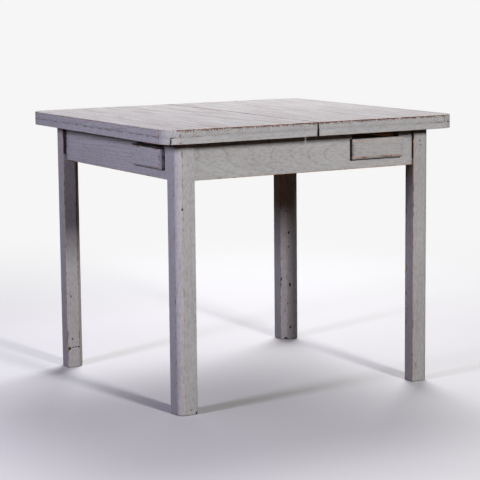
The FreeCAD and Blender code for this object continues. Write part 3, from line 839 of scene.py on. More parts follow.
def build_leg(corner, seed):
    """A square post, rounded outside and chamfered inside, with a bevelled foot."""
    shape = bpy.context.scene.table_shape
    node = f"leg_{corner}"
    low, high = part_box(node)
    middle = (low + high) / 2
    half = (high - low) / 2
    flip = (math.copysign(1, -middle.x), math.copysign(1, -middle.y))
    outline = leg_outline(low - middle, high - middle, shape)
    outline = [(middle.x + x * flip[X], middle.y + y * flip[Y]) for x, y in outline]
    solid = swept(outline, (X, Y), Z, low.z, high.z)
    rim = [edge for edge in solid.edges if all(vert.co.z < low.z + EDGE_ROOM for vert in edge.verts)]
    bevel(solid, rim, shape.foot_bevel, segments=1)
    on_face, on_side, elsewhere = LEG_WEAR[corner]

    def worn(middles, directions):
        away = middles - np.array(middle)
        outside = (away[:, X] * flip[X] < 0) & (away[:, Y] * flip[Y] < 0)
        face_end = outside & (np.abs(away[:, Y]) > half.y - EDGE_ROOM)
        side_end = outside & (np.abs(away[:, X]) > half.x - EDGE_ROOM)
        upright = np.select([face_end, side_end], [on_face, on_side], elsewhere)
        return np.where(along_axis(directions, Z), upright, LEVEL_LEG_WEAR)

    inner = [min(abs(low[axis]), abs(high[axis])) for axis in (X, Y)]
    outer = [max(abs(low[axis]), abs(high[axis])) for axis in (X, Y)]
    apron_low, apron_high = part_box("apron_right")
    setback = outer[X] - apron_high.x
    at_top, at_foot = LEG_SHADE[corner]

    def point_dirt_and_shade(points):
        """Painted shade in the corners beside the aprons, which are set back, and painted shade darkening
        towards the foot.
        """
        size = np.abs(points)
        by_front = (size[:, X] < inner[X] + POINT_ROOM) & (size[:, Y] > outer[Y] - setback)
        by_side = (size[:, Y] < inner[Y] + POINT_ROOM) & (size[:, X] > outer[X] - setback)
        recess = (by_front | by_side) & (points[:, Z] > apron_low.z + RECESS_END)
        return np.where(recess, 1.0, at_top + (at_foot - at_top) * fade(points[:, Z], FOOT_SHADE_REACH))

    reach = shape.wear_reach
    cuts = {
        X: inset(low, high, X, reach),
        Y: inset(low, high, Y, reach),
        Z: [low.z + reach] + steps(low.z + reach, high.z, spacing=16 * MM),
    }
    wear = Wear(
        radius=shape.frame_arris,
        worn=worn,
        edge_dirt_and_shade=lambda middles, _: np.where(middles[:, Z] < low.z + EDGE_ROOM, FOOT_EDGE_DIRT, 0.0),
        point_dirt_and_shade=point_dirt_and_shade,
        bites=LEG_BITES[corner],
    )
    cuts = with_bites(cuts, wear.bites, (X, Y, Z))
    grain = Grain(Z, pith=(0.045 * flip[X], 0.06 * flip[Y]), lean=(0.01, -0.008), seed=seed)
    add_piece(node, solid, grain, wear, cuts)


# How deep behind its outer face an apron's pith lay, and how it leans up.
APRON_PITH = 0.085
APRON_LEAN = -0.02

# How steeply each apron was sawn out of its log, which sets how far apart the
# arches of its grain are, how far above the pith it lay, and how well they show.
APRON_GRAIN = {
    "front": (0.092, 0.002, 0.5),
    "left": (0.012, 0.075, 0.9),
    "back": (0.07, 0.01, 0.6),
    "right": (0.015, 0.07, 0.6),
}

# How worn an apron's edges are: the lower outer one, the other outer ones, the
# lower inner one and the rest. Then how dirty those at its ends are.
APRON_WEAR = (1.12, 0.5, 0.6, 0.2)
APRON_END_DIRT = 0.6

# How much dirt and painted shade darken an apron's left-hand end beside its leg, and how far that
# reaches.
APRON_LEFT_END_SHADE = {"front": 0.25, "left": 1.0, "back": 0.25, "right": 1.0}
APRON_LEFT_END_REACH = 30 * MM


def side_axes(side, node):
    """The axes along and across a side, the way outwards, and where its node's outer face is."""
    along, across = (X, Y) if side in ("front", "back") else (Y, X)
    low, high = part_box(node)
    outward = math.copysign(1, low[across])
    return along, across, outward, high[across] if outward > 0 else low[across]


def build_apron(side, seed):
    """A board between two legs, notched for its drawer."""
    shape = bpy.context.scene.table_shape
    node = f"apron_{side}"
    low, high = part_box(node)
    along, across, outward, outer_face = side_axes(side, node)
    face_low, face_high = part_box(f"{side}_drawer_face")
    leg_low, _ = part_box("leg_back_right")
    end = leg_low[along] + shape.frame_arris
    left, right = inset(face_low, face_high, along, shape.drawer_lip)
    sill = face_low.z + shape.drawer_lip
    outline = [
        (-end, low.z),
        (end, low.z),
        (end, high.z),
        (right, high.z),
        (right, sill),
        (left, sill),
        (left, high.z),
        (-end, high.z),
    ]
    solid = swept(outline, (along, Z), across, low[across], high[across])
    reach = shape.wear_reach
    cuts = {
        along: steps(-end, end, spacing=14 * MM),
        Z: [low.z + reach, sill - reach, sill + reach],
        across: [(low[across] + high[across]) / 2],
    }

    def worn(middles, directions):
        outer = np.abs(middles[:, across] - outer_face) < EDGE_ROOM
        lower = middles[:, Z] < low.z + EDGE_ROOM
        *shares, rest = APRON_WEAR
        return np.select([outer & lower, outer, lower], shares, rest)

    def edge_dirt_and_shade(middles, directions):
        return np.where(np.abs(middles[:, along]) > end - EDGE_ROOM, APRON_END_DIRT, 0.0)

    left_hand = outward if along == X else -outward

    def point_dirt_and_shade(points):
        return APRON_LEFT_END_SHADE[side] * fade(end - left_hand * points[:, along], APRON_LEFT_END_REACH)

    wear = Wear(radius=shape.frame_arris, worn=worn, edge_dirt_and_shade=edge_dirt_and_shade, point_dirt_and_shade=point_dirt_and_shade)
    steepness, above, figure = APRON_GRAIN[side]
    pith = (-APRON_PITH * outward, above)
    lean = (steepness * outward, APRON_LEAN)
    if across != (along + 1) % 3:
        pith, lean = pith[::-1], lean[::-1]

    def never_painted(middle, normal):
        return normal[across] * outward < -0.5

    add_piece(node, solid, Grain(along, pith, lean, seed, figure), wear, cuts, bare=never_painted)


# The half tops

# How many chips each end of a board has, and how far in a gap between the two
# layers goes.
CHIP_COUNT = 32
GAP_REACH = 4 * MM


def half_frame(half):
    """The sign that turns a place on the left half into one on this half."""
    return 1 if half == "left" else -1


def turned_box(node, sign):
    """A node's box as it would lie on the left half."""
    low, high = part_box(node)
    if sign > 0:
        return low, high
    return Vector((-high.x, -high.y, low.z)), Vector((-low.x, -low.y, high.z))


def top_corner(x, y, side, shape, start, end):
    """Part of the rounded outer corner near a corner of the left half's box, on its near or far side."""
    centre = corner_centre(shape.corner_cut, shape.corner_radius)
    place = (x + centre, y + centre if side == "near" else y - centre)
    return arc(place, shape.corner_radius, start, end)


def chips_along(low, high, edge, level, depth, seed):
    """Bites of mixed size along an upper end edge, small ones most often."""
    draw = random.Random(seed)
    bites = []
    for _ in range(CHIP_COUNT):
        size = draw.random() ** 3
        place = (draw.uniform(low, high), edge, level - draw.uniform(0, 1) * MM)
        along, into, down = 2.5 + 5 * size, 2.5 + 2 * size, 2 + 2.5 * size
        reach = np.array((along, into, down)) * MM
        bites.append(Bite(np.array(place), reach, depth * (0.25 + 0.75 * size)))
    return tuple(bites)


def gaps_along(axis, low, high, edge, level, depth, seed):
    """Long bites along the line between a half top's two layers, with short breaks."""
    across = Y if axis == X else X
    draw = random.Random(seed)
    bites = []
    place = low
    while place < high:
        half_length = draw.uniform(6, 34) * MM
        half_height = draw.uniform(1.6, 2.8) * MM
        centre = point_at({axis: place + half_length, across: edge, Z: level})
        reach = point_at({axis: half_length, across: GAP_REACH, Z: half_height})
        bites.append(Bite(np.array(centre), np.array(reach), depth))
        unbroken = draw.uniform(2, 22) * MM
        place += 2 * half_length + unbroken
    return tuple(bites)


DOWEL_SIDES = 32


def bore_holes(solid, node):
    """Sink the seam's dowel holes into a board, at the dowels' own places."""
    play = bpy.context.scene.table_shape.dowel_play
    count = len(solid.verts)
    bores = bmesh.new()
    for low, high in islands("seam_dowels"):
        radius = (high[Y] - low[Y]) / 2 + play
        profile = [(low[X] - play, radius), (high[X] + play, radius)]
        turned_solid(bores, X, (low + high) / 2, profile, DOWEL_SIDES)
    bmesh.ops.recalc_face_normals(bores, faces=bores.faces[:])
    board = placed("bored", "bored", solid)
    cutter = placed("bores", "bores", bores)
    cut = board.modifiers.new("bores", "BOOLEAN")
    cut.operation = "DIFFERENCE"
    cut.object = cutter
    graph = bpy.context.evaluated_depsgraph_get()
    result = bpy.data.meshes.new_from_object(board.evaluated_get(graph))
    bored = bmesh.new()
    bored.from_mesh(result)
    meshes = (board.data, cutter.data, result)
    for item in (board, cutter):
        bpy.data.objects.remove(item)
    for mesh in meshes:
        bpy.data.meshes.remove(mesh)
    if len(bored.verts) <= count:
        raise RuntimeError(f"the dowel holes missed {node}")
    return bored


# Where the level cuts below a board's upper face and above its lower one lie.
BOARD_UPPER_CUTS = (12 * MM, 5 * MM)
BOARD_LOWER_CUT = 2 * MM

# Where the pith lies beside each board's middle, below it and across from it.
BOARD_PITH = {"outer": (-0.03, 0.03), "middle": (-0.027, -0.03), "inner": (-0.032, 0.05)}

# How worn a board's edges are: where it joins another, above an end, above the
# outer board's side, above elsewhere, and upright at an end or elsewhere.
BOARD_WEAR = (0.0, 1.35, 0.85, 1.0, 0.86, 1.0)

# How frayed the paint below the upper edges is, on the end grain and on the
# sides, and how far down that goes.
BOARD_FRAY = (1.22, 0.95)
FRAY_REACH = 12 * MM

# How far below the upper face the rubbing of the top ends.
RUB_REACH = 2 * MM

# How dark a board's edges are made: along the seam and at the seam's ends by dirt and painted shade in
# the gap, then by dirt between the layers, where it joins another, along a side, and above the right
# half's ends.
BOARD_DIRT_AND_SHADE = (0.92, 0.98, 0.74, 0.6, 0.78, 0.75)

# How dark the painted shade on the faces in the seam is, near the edges that show and inside.
SEAM_SHADE = (1.0, 0.6)

# Knocks on the rounded front left corner, in millimetres.
BOARD_BITES = {
    "left_top_outer_board": millimetre_bites(
        ((-460, -388, 759), (3.5, 4, 4.5), 0.8, FRESH),
        ((-442, -420, 764), (3, 3, 2.5), 0.6, FRESH),
    ),
}


# Painted shade on the faces in the seam gap.
def seam_shade(at_seam, shown):
    return np.where(at_seam, np.where(shown, *SEAM_SHADE), 0.0)


def board_outline(low, high, is_outer, shape):
    """A board of the left half, with the rounded corners of the outer one."""
    if not is_outer:
        return [(low.x, low.y), (high.x, low.y), (high.x, high.y), (low.x, high.y)]
    sweep = corner_sweep(shape.corner_cut, shape.corner_radius)
    near = top_corner(low.x, low.y, "near", shape, 225 - sweep, 225 + sweep)
    far = top_corner(low.x, high.y, "far", shape, 135 - sweep, 135 + sweep)
    return near + [(high.x, low.y), (high.x, high.y)] + far


def build_board(half, title, seed):
    """A board of a half top, bored for the dowels if it lies at the seam."""
    shape = bpy.context.scene.table_shape
    node = f"{half}_top_{title}_board"
    sign = half_frame(half)
    low, high = turned_box(node, sign)
    outline = [(x * sign, y * sign) for x, y in board_outline(low, high, title == "outer", shape)]
    solid = swept(outline, (X, Y), Z, low.z, high.z)
    if title == "inner":
        solid = bore_holes(solid, node)
    box_low, box_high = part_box(node)
    reach = shape.wear_reach

    def at_inner(points):
        return np.abs(np.abs(points[:, X]) - abs(high.x)) < POINT_ROOM

    def at_joint(middles):
        outer = np.abs(np.abs(middles[:, X]) - abs(low.x)) < POINT_ROOM
        return (at_inner(middles) & (title != "inner")) | (outer & (title != "outer"))

    def at_seam(points):
        return at_inner(points) & (title == "inner")

    def at_side(points):
        return (np.abs(points[:, X]) > abs(low.x) - POINT_ROOM) & (title == "outer")

    def at_end(points):
        return np.abs(points[:, Y]) > box_high.y - POINT_ROOM

    def upper(middles):
        return middles[:, Z] > high.z - EDGE_ROOM

    def lower(middles):
        return middles[:, Z] < low.z + EDGE_ROOM

    def worn(middles, directions):
        joint, end, above = at_joint(middles), at_end(middles), upper(middles)
        upright = along_axis(directions, Z)
        places = [joint, above & end, above & (title == "outer"), above, upright & end, upright]
        return np.select(places, BOARD_WEAR)

    def edge_dirt_and_shade(middles, directions):
        seam, lengthwise = at_seam(middles), along_axis(directions, Y)
        side = at_side(middles) & lengthwise
        right_end = at_end(middles) & upper(middles) & (half == "right")
        places = [seam & lengthwise, seam, lower(middles), at_joint(middles), side, right_end]
        return np.select(places, BOARD_DIRT_AND_SHADE)

    def scuffed(points):
        """Frayed paint below the upper edges, most on the end grain."""
        frayed = np.select([at_end(points), at_side(points)], BOARD_FRAY)
        return frayed * fade(high.z - points[:, Z], FRAY_REACH)

    def point_dirt_and_shade(points):
        """Painted shade on the face of the seam, blackest near the edges that show."""
        shown = (points[:, Z] > high.z - reach) | (np.abs(points[:, Y]) > box_high.y - 1.5 * reach)
        return seam_shade(at_seam(points), shown)

    knocks = BOARD_BITES.get(node, ())
    chips = knocks
    for edge in (box_low.y, box_high.y):
        chips += chips_along(box_low.x, box_high.x, edge, high.z, shape.chip_depth, seed + edge)
    wear = Wear(
        radius=shape.top_arris,
        worn=worn,
        edge_dirt_and_shade=edge_dirt_and_shade,
        closed=lambda middles, _: at_joint(middles) | lower(middles),
        rubbed=lambda points: np.clip((points[:, Z] - high.z + RUB_REACH) / RUB_REACH, 0, 1),
        scuffed=scuffed,
        point_dirt_and_shade=point_dirt_and_shade,
        bites=chips,
    )
    sides = [box_low.x + reach / 2, box_low.x + reach, box_high.x - reach, box_high.x - reach / 2]
    ends = inset(box_low, box_high, Y, reach)
    inner_ends = inset(box_low, box_high, Y, 2 * reach)
    cuts = {
        X: sides + steps(box_low.x, box_high.x, spacing=2.6 * MM),
        Y: ends + inner_ends + steps(*inner_ends, spacing=40 * MM),
        Z: [low.z + BOARD_LOWER_CUT] + [high.z - depth for depth in BOARD_UPPER_CUTS],
    }
    cuts = with_bites(cuts, knocks, (Y, Z))
    grain = Grain(Y, BOARD_PITH[title], lean=(0.012, 0.02), seed=seed, figure=0.5)
    add_piece(node, solid, grain, wear, cuts, bare=lambda middle, normal: normal.z < -0.5)


# Where the level cuts inside a batten's lower and upper faces lie, and how far
# behind the strip that shows in the seam the last upright one does.
BATTEN_CUTS = (2 * MM, 6 * MM)
BATTEN_BACK_CUT = 5 * MM

# How worn each batten's outer edges are, lower and upright, and how worn the
# hidden ones.
BATTEN_WEAR = {"end": (0.85, 1.0), "near": (0.85, 0.86), "far": (0.85, 0.86)}
HIDDEN_BATTEN_WEAR = 0.1

# How dark its edges are made: at the seam by dirt and painted shade in the gap, then by dirt above an
# end, at a mitre, and above elsewhere, between the layers.
BATTEN_DIRT_AND_SHADE = {
    "end": (1.3, 0.72, 0.85, 0.72),
    "near": (1.3, 0.72, 1.15, 0.72),
    "far": (1.3, 0.72, 0.85, 0.72),
}

# How far from its end a batten's mitre counts as near.
MITRE_REACH = 12 * MM

# How far round its corner from the middle, in degrees, the gap above an edge
# batten's mitre lies.
MITRE_BITE_TURN = 13.5

# How far from the corner the gaps above an edge batten start, and run.
EDGE_GAP_START = 20 * MM
EDGE_GAP_RUN = 110 * MM


def batten_outline(title, low, high, shape):
    """A batten of the left half, whose box these are, with open mitres at the rounded corners."""
    sweep = corner_sweep(shape.corner_cut, shape.corner_radius)
    turn = math.degrees(shape.mitre_turn)
    gap = math.degrees(shape.mitre_gap / 2 / shape.corner_radius)
    shift = shape.mitre_gap / math.sqrt(2)
    width = shape.batten_width
    inner_x = low.x + width
    if title == "end":
        near = top_corner(low.x, low.y, "near", shape, 225 - sweep, 225 + turn - gap)
        far = top_corner(low.x, high.y, "far", shape, 135 - turn + gap, 135 + sweep)
        return near + [(inner_x, low.y + width + shift), (inner_x, high.y - width - shift)] + far
    if title == "near":
        near = top_corner(low.x, low.y, "near", shape, 225 + turn + gap, 225 + sweep)
        return near + [(high.x, low.y), (high.x, low.y + width), (inner_x + shift, low.y + width)]
    far = top_corner(low.x, high.y, "far", shape, 135 - sweep, 135 - turn - gap)
    return [(inner_x + shift, high.y - width), (high.x, high.y - width), (high.x, high.y)] + far


def mitre_bite(title, low, high, level, sign, shape):
    """The gap above an edge batten beside its mitre, from the box of the left half's outer board."""
    centre = corner_centre(shape.corner_cut, shape.corner_radius)
    around = math.radians(225 + MITRE_BITE_TURN)
    in_x = centre + shape.corner_radius * math.cos(around)
    in_y = centre + shape.corner_radius * math.sin(around)
    y = low.y + in_y if title == "near" else high.y - in_y
    place = (sign * (low.x + in_x), sign * y, level)
    return Bite(np.array(place), reach=np.array((10, 10, 3.2)) * MM, depth=2 * MM)


def build_batten(half, title, seed):
    """A strip under the top's edge: the end one, or the near or far one on the left half."""
    shape = bpy.context.scene.table_shape
    sign = half_frame(half)
    near, far = ("front", "back") if sign > 0 else ("back", "front")
    names = {"end": "end", "near": near, "far": far}
    node = f"{half}_top_{names[title]}_batten"
    low, high = turned_box(node, sign)
    outer_low, outer_high = turned_box(f"{half}_top_outer_board", sign)
    corner_high = Vector((high.x, outer_high.y, high.z))
    outline = [(x * sign, y * sign) for x, y in batten_outline(title, outer_low, corner_high, shape)]
    solid = swept(outline, (X, Y), Z, low.z, high.z)
    box_low, box_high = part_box(node)
    along, across = (Y, X) if title == "end" else (X, Y)
    outward = math.copysign(1, box_low[across] + box_high[across])
    outer_edge = max(abs(box_low[across]), abs(box_high[across]))
    far_end = max(abs(box_low[along]), abs(box_high[along]))
    shown = outer_edge - 2 * shape.wear_reach

    def at_seam(points):
        return (np.abs(points[:, X]) < abs(high.x) + POINT_ROOM) & (title != "end")

    def worn(middles, directions):
        outside = np.abs(middles[:, across]) > outer_edge - shape.corner_cut
        lower = middles[:, Z] < low.z + EDGE_ROOM
        places = [lower & outside, along_axis(directions, Z) & outside]
        return np.select(places, BATTEN_WEAR[title], HIDDEN_BATTEN_WEAR)

    def edge_dirt_and_shade(middles, directions):
        upper = middles[:, Z] > high.z - EDGE_ROOM
        at_mitre = np.abs(middles[:, along]) > far_end - MITRE_REACH
        mitre = at_mitre & (upper | along_axis(directions, Z))
        return np.select([at_seam(middles), upper & (title == "end"), mitre, upper], BATTEN_DIRT_AND_SHADE[title])

    edge = outward * outer_edge
    if title == "end":
        bites = gaps_along(Y, box_low.y, box_high.y, edge, high.z, depth=1.2 * MM, seed=seed)
    else:
        bites = (mitre_bite(title, outer_low, outer_high, high.z, sign, shape),)
        way = math.copysign(1, box_low.x + box_high.x)
        start = way * (far_end - EDGE_GAP_START)
        ends = sorted((start, start - way * EDGE_GAP_RUN))
        bites += gaps_along(X, *ends, edge, high.z, depth=0.5 * MM, seed=seed)
    wear = Wear(
        radius=shape.batten_arris,
        worn=worn,
        edge_dirt_and_shade=edge_dirt_and_shade,
        closed=lambda middles, _: middles[:, Z] > high.z - EDGE_ROOM,
        # Painted shade on the faces in the seam gap.
        point_dirt_and_shade=lambda points: seam_shade(at_seam(points), np.abs(points[:, across]) > shown - POINT_ROOM),
        bites=bites,
    )
    shallow, deep = BATTEN_CUTS
    cuts = {
        along: steps(box_low[along], box_high[along], spacing=4.5 * MM),
        across: [outward * (shown - BATTEN_BACK_CUT), outward * shown],
        Z: [low.z + shallow, low.z + deep, high.z - deep, high.z - shallow],
    }
    grain = Grain(along, pith=(0.05, 0.03), lean=(0.01, 0.015), seed=seed)
    add_piece(node, solid, grain, wear, cuts, bare=lambda middle, normal: normal.z > 0.5)


# Drawers and the slide

# How worn a drawer front is, by the axis along it: the level edges of its face,
# the upright ones and those behind its bevel.
FRONT_WEAR = {X: (0.84, 0.76, 0.55), Y: (0.76, 0.76, 0.55)}

# How dark it is made: painted shade on the sides of its lip, dirt on its face, and a painted shadow on
# its upper bevel, which reaches a little past it. The painted shade from the lip's rear edge is the same
# on all.
FRONT_SHADE_AND_DIRT = {X: (1.0, 0.3, 0), Y: (0.8, 0.12, 2)}
BEVEL_SHADOW_REACH_SHARE = 1.2
LIP_EDGE_SHADE = 1.2

# Knocks on the corners of the face: reach of the lower and of the upper ones.
FRONT_KNOCKS = (4.5 * MM, 3.2 * MM)
FRONT_KNOCK_DEPTH = 0.6 * MM


def shaped_front(node, along):
    """A drawer front's solid with its lip's corners rounded."""
    shape = bpy.context.scene.table_shape
    low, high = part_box(node)
    solid = from_node(node)

    def at_corner(vert):
        near_end = min(abs(vert.co[along] - low[along]), abs(vert.co[along] - high[along]))
        near_level = min(abs(vert.co.z - low.z), abs(vert.co.z - high.z))
        return max(near_end, near_level) < shape.front_bevel + POINT_ROOM

    corners = [edge for edge in solid.edges if all(at_corner(vert) for vert in edge.verts)]
    bevel(solid, corners, shape.front_corner, segments=3, clamp_overlap=True)
    return solid


def build_drawer_front(side, seed):
    """A bevelled front that laps over its opening."""
    shape = bpy.context.scene.table_shape
    node = f"{side}_drawer_face"
    low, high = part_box(node)
    along, across, outward, outer_face = side_axes(side, node)
    solid = shaped_front(node, along)
    on_lip, on_face, bevel_shadow = FRONT_SHADE_AND_DIRT[along]

    def behind(points):
        return np.abs(points[:, across] - outer_face)

    def worn(middles, directions):
        at_face = behind(middles) < EDGE_ROOM
        level = np.abs(directions[:, along]) > 0.5
        bevelled = behind(middles) < shape.front_bevel + EDGE_ROOM
        return np.select([at_face & level, at_face, bevelled], FRONT_WEAR[along])

    # Painted shade on the lip's sides, spreading from its rear edge.
    def edge_dirt_and_shade(middles, directions):
        return np.where(behind(middles) > shape.front_lip - EDGE_ROOM, LIP_EDGE_SHADE, 0.0)

    # Painted shade on the lip's sides and on the upper edge behind the lip, a painted shadow on the side
    # drawers' upper bevel, and dirt on the face.
    def point_dirt_and_shade(points):
        lip_side = behind(points) > shape.front_bevel + shape.front_arris / 2
        bevel_shadowed = bevel_shadow * fade(high.z - points[:, Z], BEVEL_SHADOW_REACH_SHARE * shape.front_bevel)
        return np.where(lip_side, on_lip, np.maximum(bevel_shadowed, on_face))

    # The upper edge behind the lip stays painted, so that it takes the lip's painted shade.
    def never_painted(middle, normal):
        return abs(middle[across] - outer_face) > shape.front_lip + EDGE_ROOM and normal.z < 0.5

    bites = ()
    for end in inset(low, high, along, shape.front_bevel):
        for level, size in zip(inset(low, high, Z, shape.front_bevel), FRONT_KNOCKS):
            place = point_at({along: end, across: outer_face, Z: level})
            bites += (Bite(np.array(place), np.full(3, size), FRONT_KNOCK_DEPTH, FRESH),)
    wear = Wear(
        radius=shape.front_arris, worn=worn, edge_dirt_and_shade=edge_dirt_and_shade, point_dirt_and_shade=point_dirt_and_shade, bites=bites, segments=1
    )
    reach = shape.wear_reach
    cuts = {
        along: inset(low, high, along, reach) + steps(low[along], high[along], spacing=7 * MM),
        Z: inset(low, high, Z, reach) + steps(low.z, high.z, spacing=8 * MM),
    }
    cuts = with_bites(cuts, bites, (along, Z))
    grain = Grain(along, pith=(0.05 * outward, 0.03), lean=(0.02, 0.01), seed=seed)
    add_piece(node, solid, grain, wear, cuts, bare=never_painted)


def build_bare(node, finish, seed):
    """An unpainted piece: its solid with planed edges, cut across its length."""
    low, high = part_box(node)
    size = high - low
    along = max((X, Y, Z), key=lambda axis: size[axis])
    cuts = {along: steps(low[along], high[along], spacing=45 * MM)}
    wear = Wear(radius=bpy.context.scene.table_shape.bare_arris, segments=1)
    grain = Grain(along, pith=(0.04, 0.025), lean=(0.015, -0.01), seed=seed)
    add_piece(node, from_node(node), grain, wear, cuts, finish=finish)


SCREW_SLOT_HALF = 0.6 * MM
SCREW_SLOT_DEPTH = 0.9 * MM


def cut_slot(solid, cap, middle, across):
    """Sink a slot into the face of a screw's head."""
    pieces = [cap]
    for offset in (-SCREW_SLOT_HALF, SCREW_SLOT_HALF):
        geometry = pieces + [edge for face in pieces for edge in face.edges]
        geometry += [vert for face in pieces for vert in face.verts]
        cut = bmesh.ops.bisect_plane(
            solid, geom=list(set(geometry)), plane_co=middle + across * offset, plane_no=across
        )
        pieces = [item for item in cut["geom"] if isinstance(item, bmesh.types.BMFace)]
    groove = min(pieces, key=lambda face: abs((face.calc_center_median() - middle).dot(across)))
    raised = bmesh.ops.extrude_face_region(solid, geom=[groove])
    moved = [item for item in raised["geom"] if isinstance(item, bmesh.types.BMVert)]
    bmesh.ops.translate(solid, verts=moved, vec=(0, 0, SCREW_SLOT_DEPTH))
    bmesh.ops.delete(solid, geom=[groove], context="FACES_ONLY")


def build_screws(half, seed):
    """Countersunk screws with a slot across the head."""
    node = f"{half}_top_loper_screws"
    solid = bmesh.new()
    draw = random.Random(seed)
    for low, high in islands(node):
        centre = (low + high) / 2
        head = (high[X] - low[X]) / 2
        shank = head / 2
        tip = 0.2 * shank
        sink = low[Z] + head - shank
        profile = [(low[Z], head), (sink, shank), (high[Z] - 2 * shank, shank), (high[Z], tip)]
        cap, _ = turned_solid(solid, Z, centre, profile, sides=24)
        turn = draw.uniform(0, math.pi)
        middle = Vector((centre[X], centre[Y], low[Z]))
        cut_slot(solid, cap, middle, Vector((math.cos(turn), math.sin(turn), 0)))
    wear = Wear(radius=0.15 * MM, segments=1)
    add_piece(node, solid, Grain(Z, seed=seed), wear, finish="rusty_steel")


def build_dowels(seed):
    """Fluted pins in the seam."""
    node = "seam_dowels"
    solid = bmesh.new()
    tip = 2 * MM
    taper = 0.8 * tip
    for low, high in islands(node):
        radius = (high[Y] - low[Y]) / 2
        profile = [(low[X], radius), (high[X] - tip, radius), (high[X], radius - taper)]
        turned_solid(solid, X, (low + high) / 2, profile, DOWEL_SIDES, flute=0.35 * MM)
    wear = Wear(radius=0.3 * MM, segments=1)
    add_piece(node, solid, Grain(X, pith=(0.02, 0.02), seed=seed), wear, finish="bare_wood")


# The stage

# How far from the table's middle the floor starts to fade, and is gone.
FLOOR_FADE = (0.9, 3.0)

# The soft lights: place, target, size, and the settings of their power and tint.
LAMPS = {
    "front_light": ((0.25, -5.25, 2.45), (0, -0.3, 0.6), (0.5, 0.9), "key_power", "key_colour"),
    "left_light": ((-3.2, -0.75, 1.7), (-0.3, 0, 0.6), (0.45, 0.8), "fill_power", "fill_colour"),
    "top_light": ((1.3, 1.7, 3.2), (0, 0.1, 0.5), (1.8, 1.8), "top_power", "top_colour"),
    "back_light": ((1.5, 2.9, 1.2), (0, 0, 0.7), (2.2, 1.4), "back_power", "top_colour"),
}

# The camera's place and turn, solved from the table's straight edges.
CAMERA_PLACE = (-2.528, -4.3589, 1.1431)
CAMERA_YAW = 0.5263
CAMERA_PITCH = 0.1477
CAMERA_ROLL = -0.0098
SENSOR_WIDTH = 36


def add_softbox(name, place, target, size, watts, tint):
    """A soft rectangular light that points from its place to a target."""
    lamp = bpy.data.lights.new(name, "AREA")
    lamp.shape = "RECTANGLE"
    lamp.size, lamp.size_y = size
    lamp.energy = watts
    lamp.color = tint
    box = bpy.data.objects.new(name, lamp)
    box.location = place
    box.rotation_euler = (Vector(target) - Vector(place)).to_track_quat("-Z", "Y").to_euler()
    bpy.context.scene.collection.objects.link(box)


def floor_finish(stage):
    """Pale to the eye and plainer as a source of light, fading into the backdrop."""
    finish = Finish(bpy.data.materials.new("pale_floor"))
    place = finish.node("ShaderNodeTexCoord", {}, {}, "Object")
    far = finish.distance(place).rise(*FLOOR_FADE)
    seen = finish.seen()
    grit = finish.noise(place, (300, 300, 300))
    pale = finish.mix(grit * 0.06, stage.floor, stage.bounce)
    lit = finish.mix(far, stage.bounce, BLACK)
    sockets = {"Base Color": finish.mix(seen, lit, pale), "Roughness": 0.9, "Specular IOR Level": 0}
    near = finish.node("ShaderNodeBsdfPrincipled", {}, sockets)
    glow = finish.node("ShaderNodeEmission", {}, {"Color": stage.background})
    ground = finish.node("ShaderNodeMixShader", {}, {0: far * seen, 1: near, 2: glow})
    below = finish.node("ShaderNodeNewGeometry", {}, {}, "Backfacing")
    clear = finish.node("ShaderNodeBsdfTransparent", {}, {})
    whole = finish.node("ShaderNodeMixShader", {}, {0: below, 1: ground, 2: clear})
    finish.node("ShaderNodeOutputMaterial", {}, {"Surface": whole})
    return finish.owner


def add_floor(stage):
    plate = bmesh.new()
    bmesh.ops.create_circle(plate, cap_ends=True, segments=96, radius=40)
    floor = placed("floor", "floor", plate)
    floor.data.materials.append(floor_finish(stage))


def add_world(stage):
    """Even light from all round, seen as the pale backdrop."""
    finish = Finish(bpy.data.worlds.new("studio"))
    around = finish.node("ShaderNodeBackground", {}, {"Color": stage.ambient})
    behind = finish.node("ShaderNodeBackground", {}, {"Color": stage.background})
    whole = finish.node("ShaderNodeMixShader", {}, {0: finish.seen(), 1: around, 2: behind})
    finish.node("ShaderNodeOutputWorld", {}, {"Surface": whole})
    bpy.context.scene.world = finish.owner


def add_camera(stage):
    """The camera, level at first, then turned, tilted and rolled a little."""
    data = bpy.data.cameras.new("camera")
    data.sensor_width = SENSOR_WIDTH
    data.lens = stage.lens
    camera = bpy.data.objects.new("camera", data)
    level = math.cos(CAMERA_PITCH)
    forward = Vector(
        (math.sin(CAMERA_YAW) * level, math.cos(CAMERA_YAW) * level, -math.sin(CAMERA_PITCH))
    )
    right = Vector((math.cos(CAMERA_YAW), -math.sin(CAMERA_YAW), 0))
    up = right.cross(forward)
    rolled_right = right * math.cos(CAMERA_ROLL) + up * math.sin(CAMERA_ROLL)
    rolled_up = up * math.cos(CAMERA_ROLL) - right * math.sin(CAMERA_ROLL)
    turn = Matrix((rolled_right, rolled_up, -forward)).transposed()
    camera.matrix_world = Matrix.Translation(CAMERA_PLACE) @ turn.to_4x4()
    bpy.context.scene.collection.objects.link(camera)
    bpy.context.scene.camera = camera


# Operators


class TABLE_OT_legs(Operator):
    """Make the four legs: rounded outer corner, chamfered inner corner"""

    bl_idname = "table.legs"
    bl_label = "Legs"

    def execute(self, context):
        for seed, corner in enumerate(CORNERS, start=1):
            build_leg(corner, seed)
        return {"FINISHED"}


class TABLE_OT_aprons(Operator):
    """Make the four aprons, each notched for its drawer"""

    bl_idname = "table.aprons"
    bl_label = "Aprons"

    def execute(self, context):
        for seed, side in enumerate(SIDES, start=11):
            build_apron(side, seed)
        return {"FINISHED"}


class TABLE_OT_boards(Operator):
    """Make the boards of both half tops"""

    bl_idname = "table.boards"
    bl_label = "Top boards"

    def execute(self, context):
        for seed, (half, title) in enumerate(product(HALVES, BOARDS), start=21):
            build_board(half, title, seed)
        return {"FINISHED"}


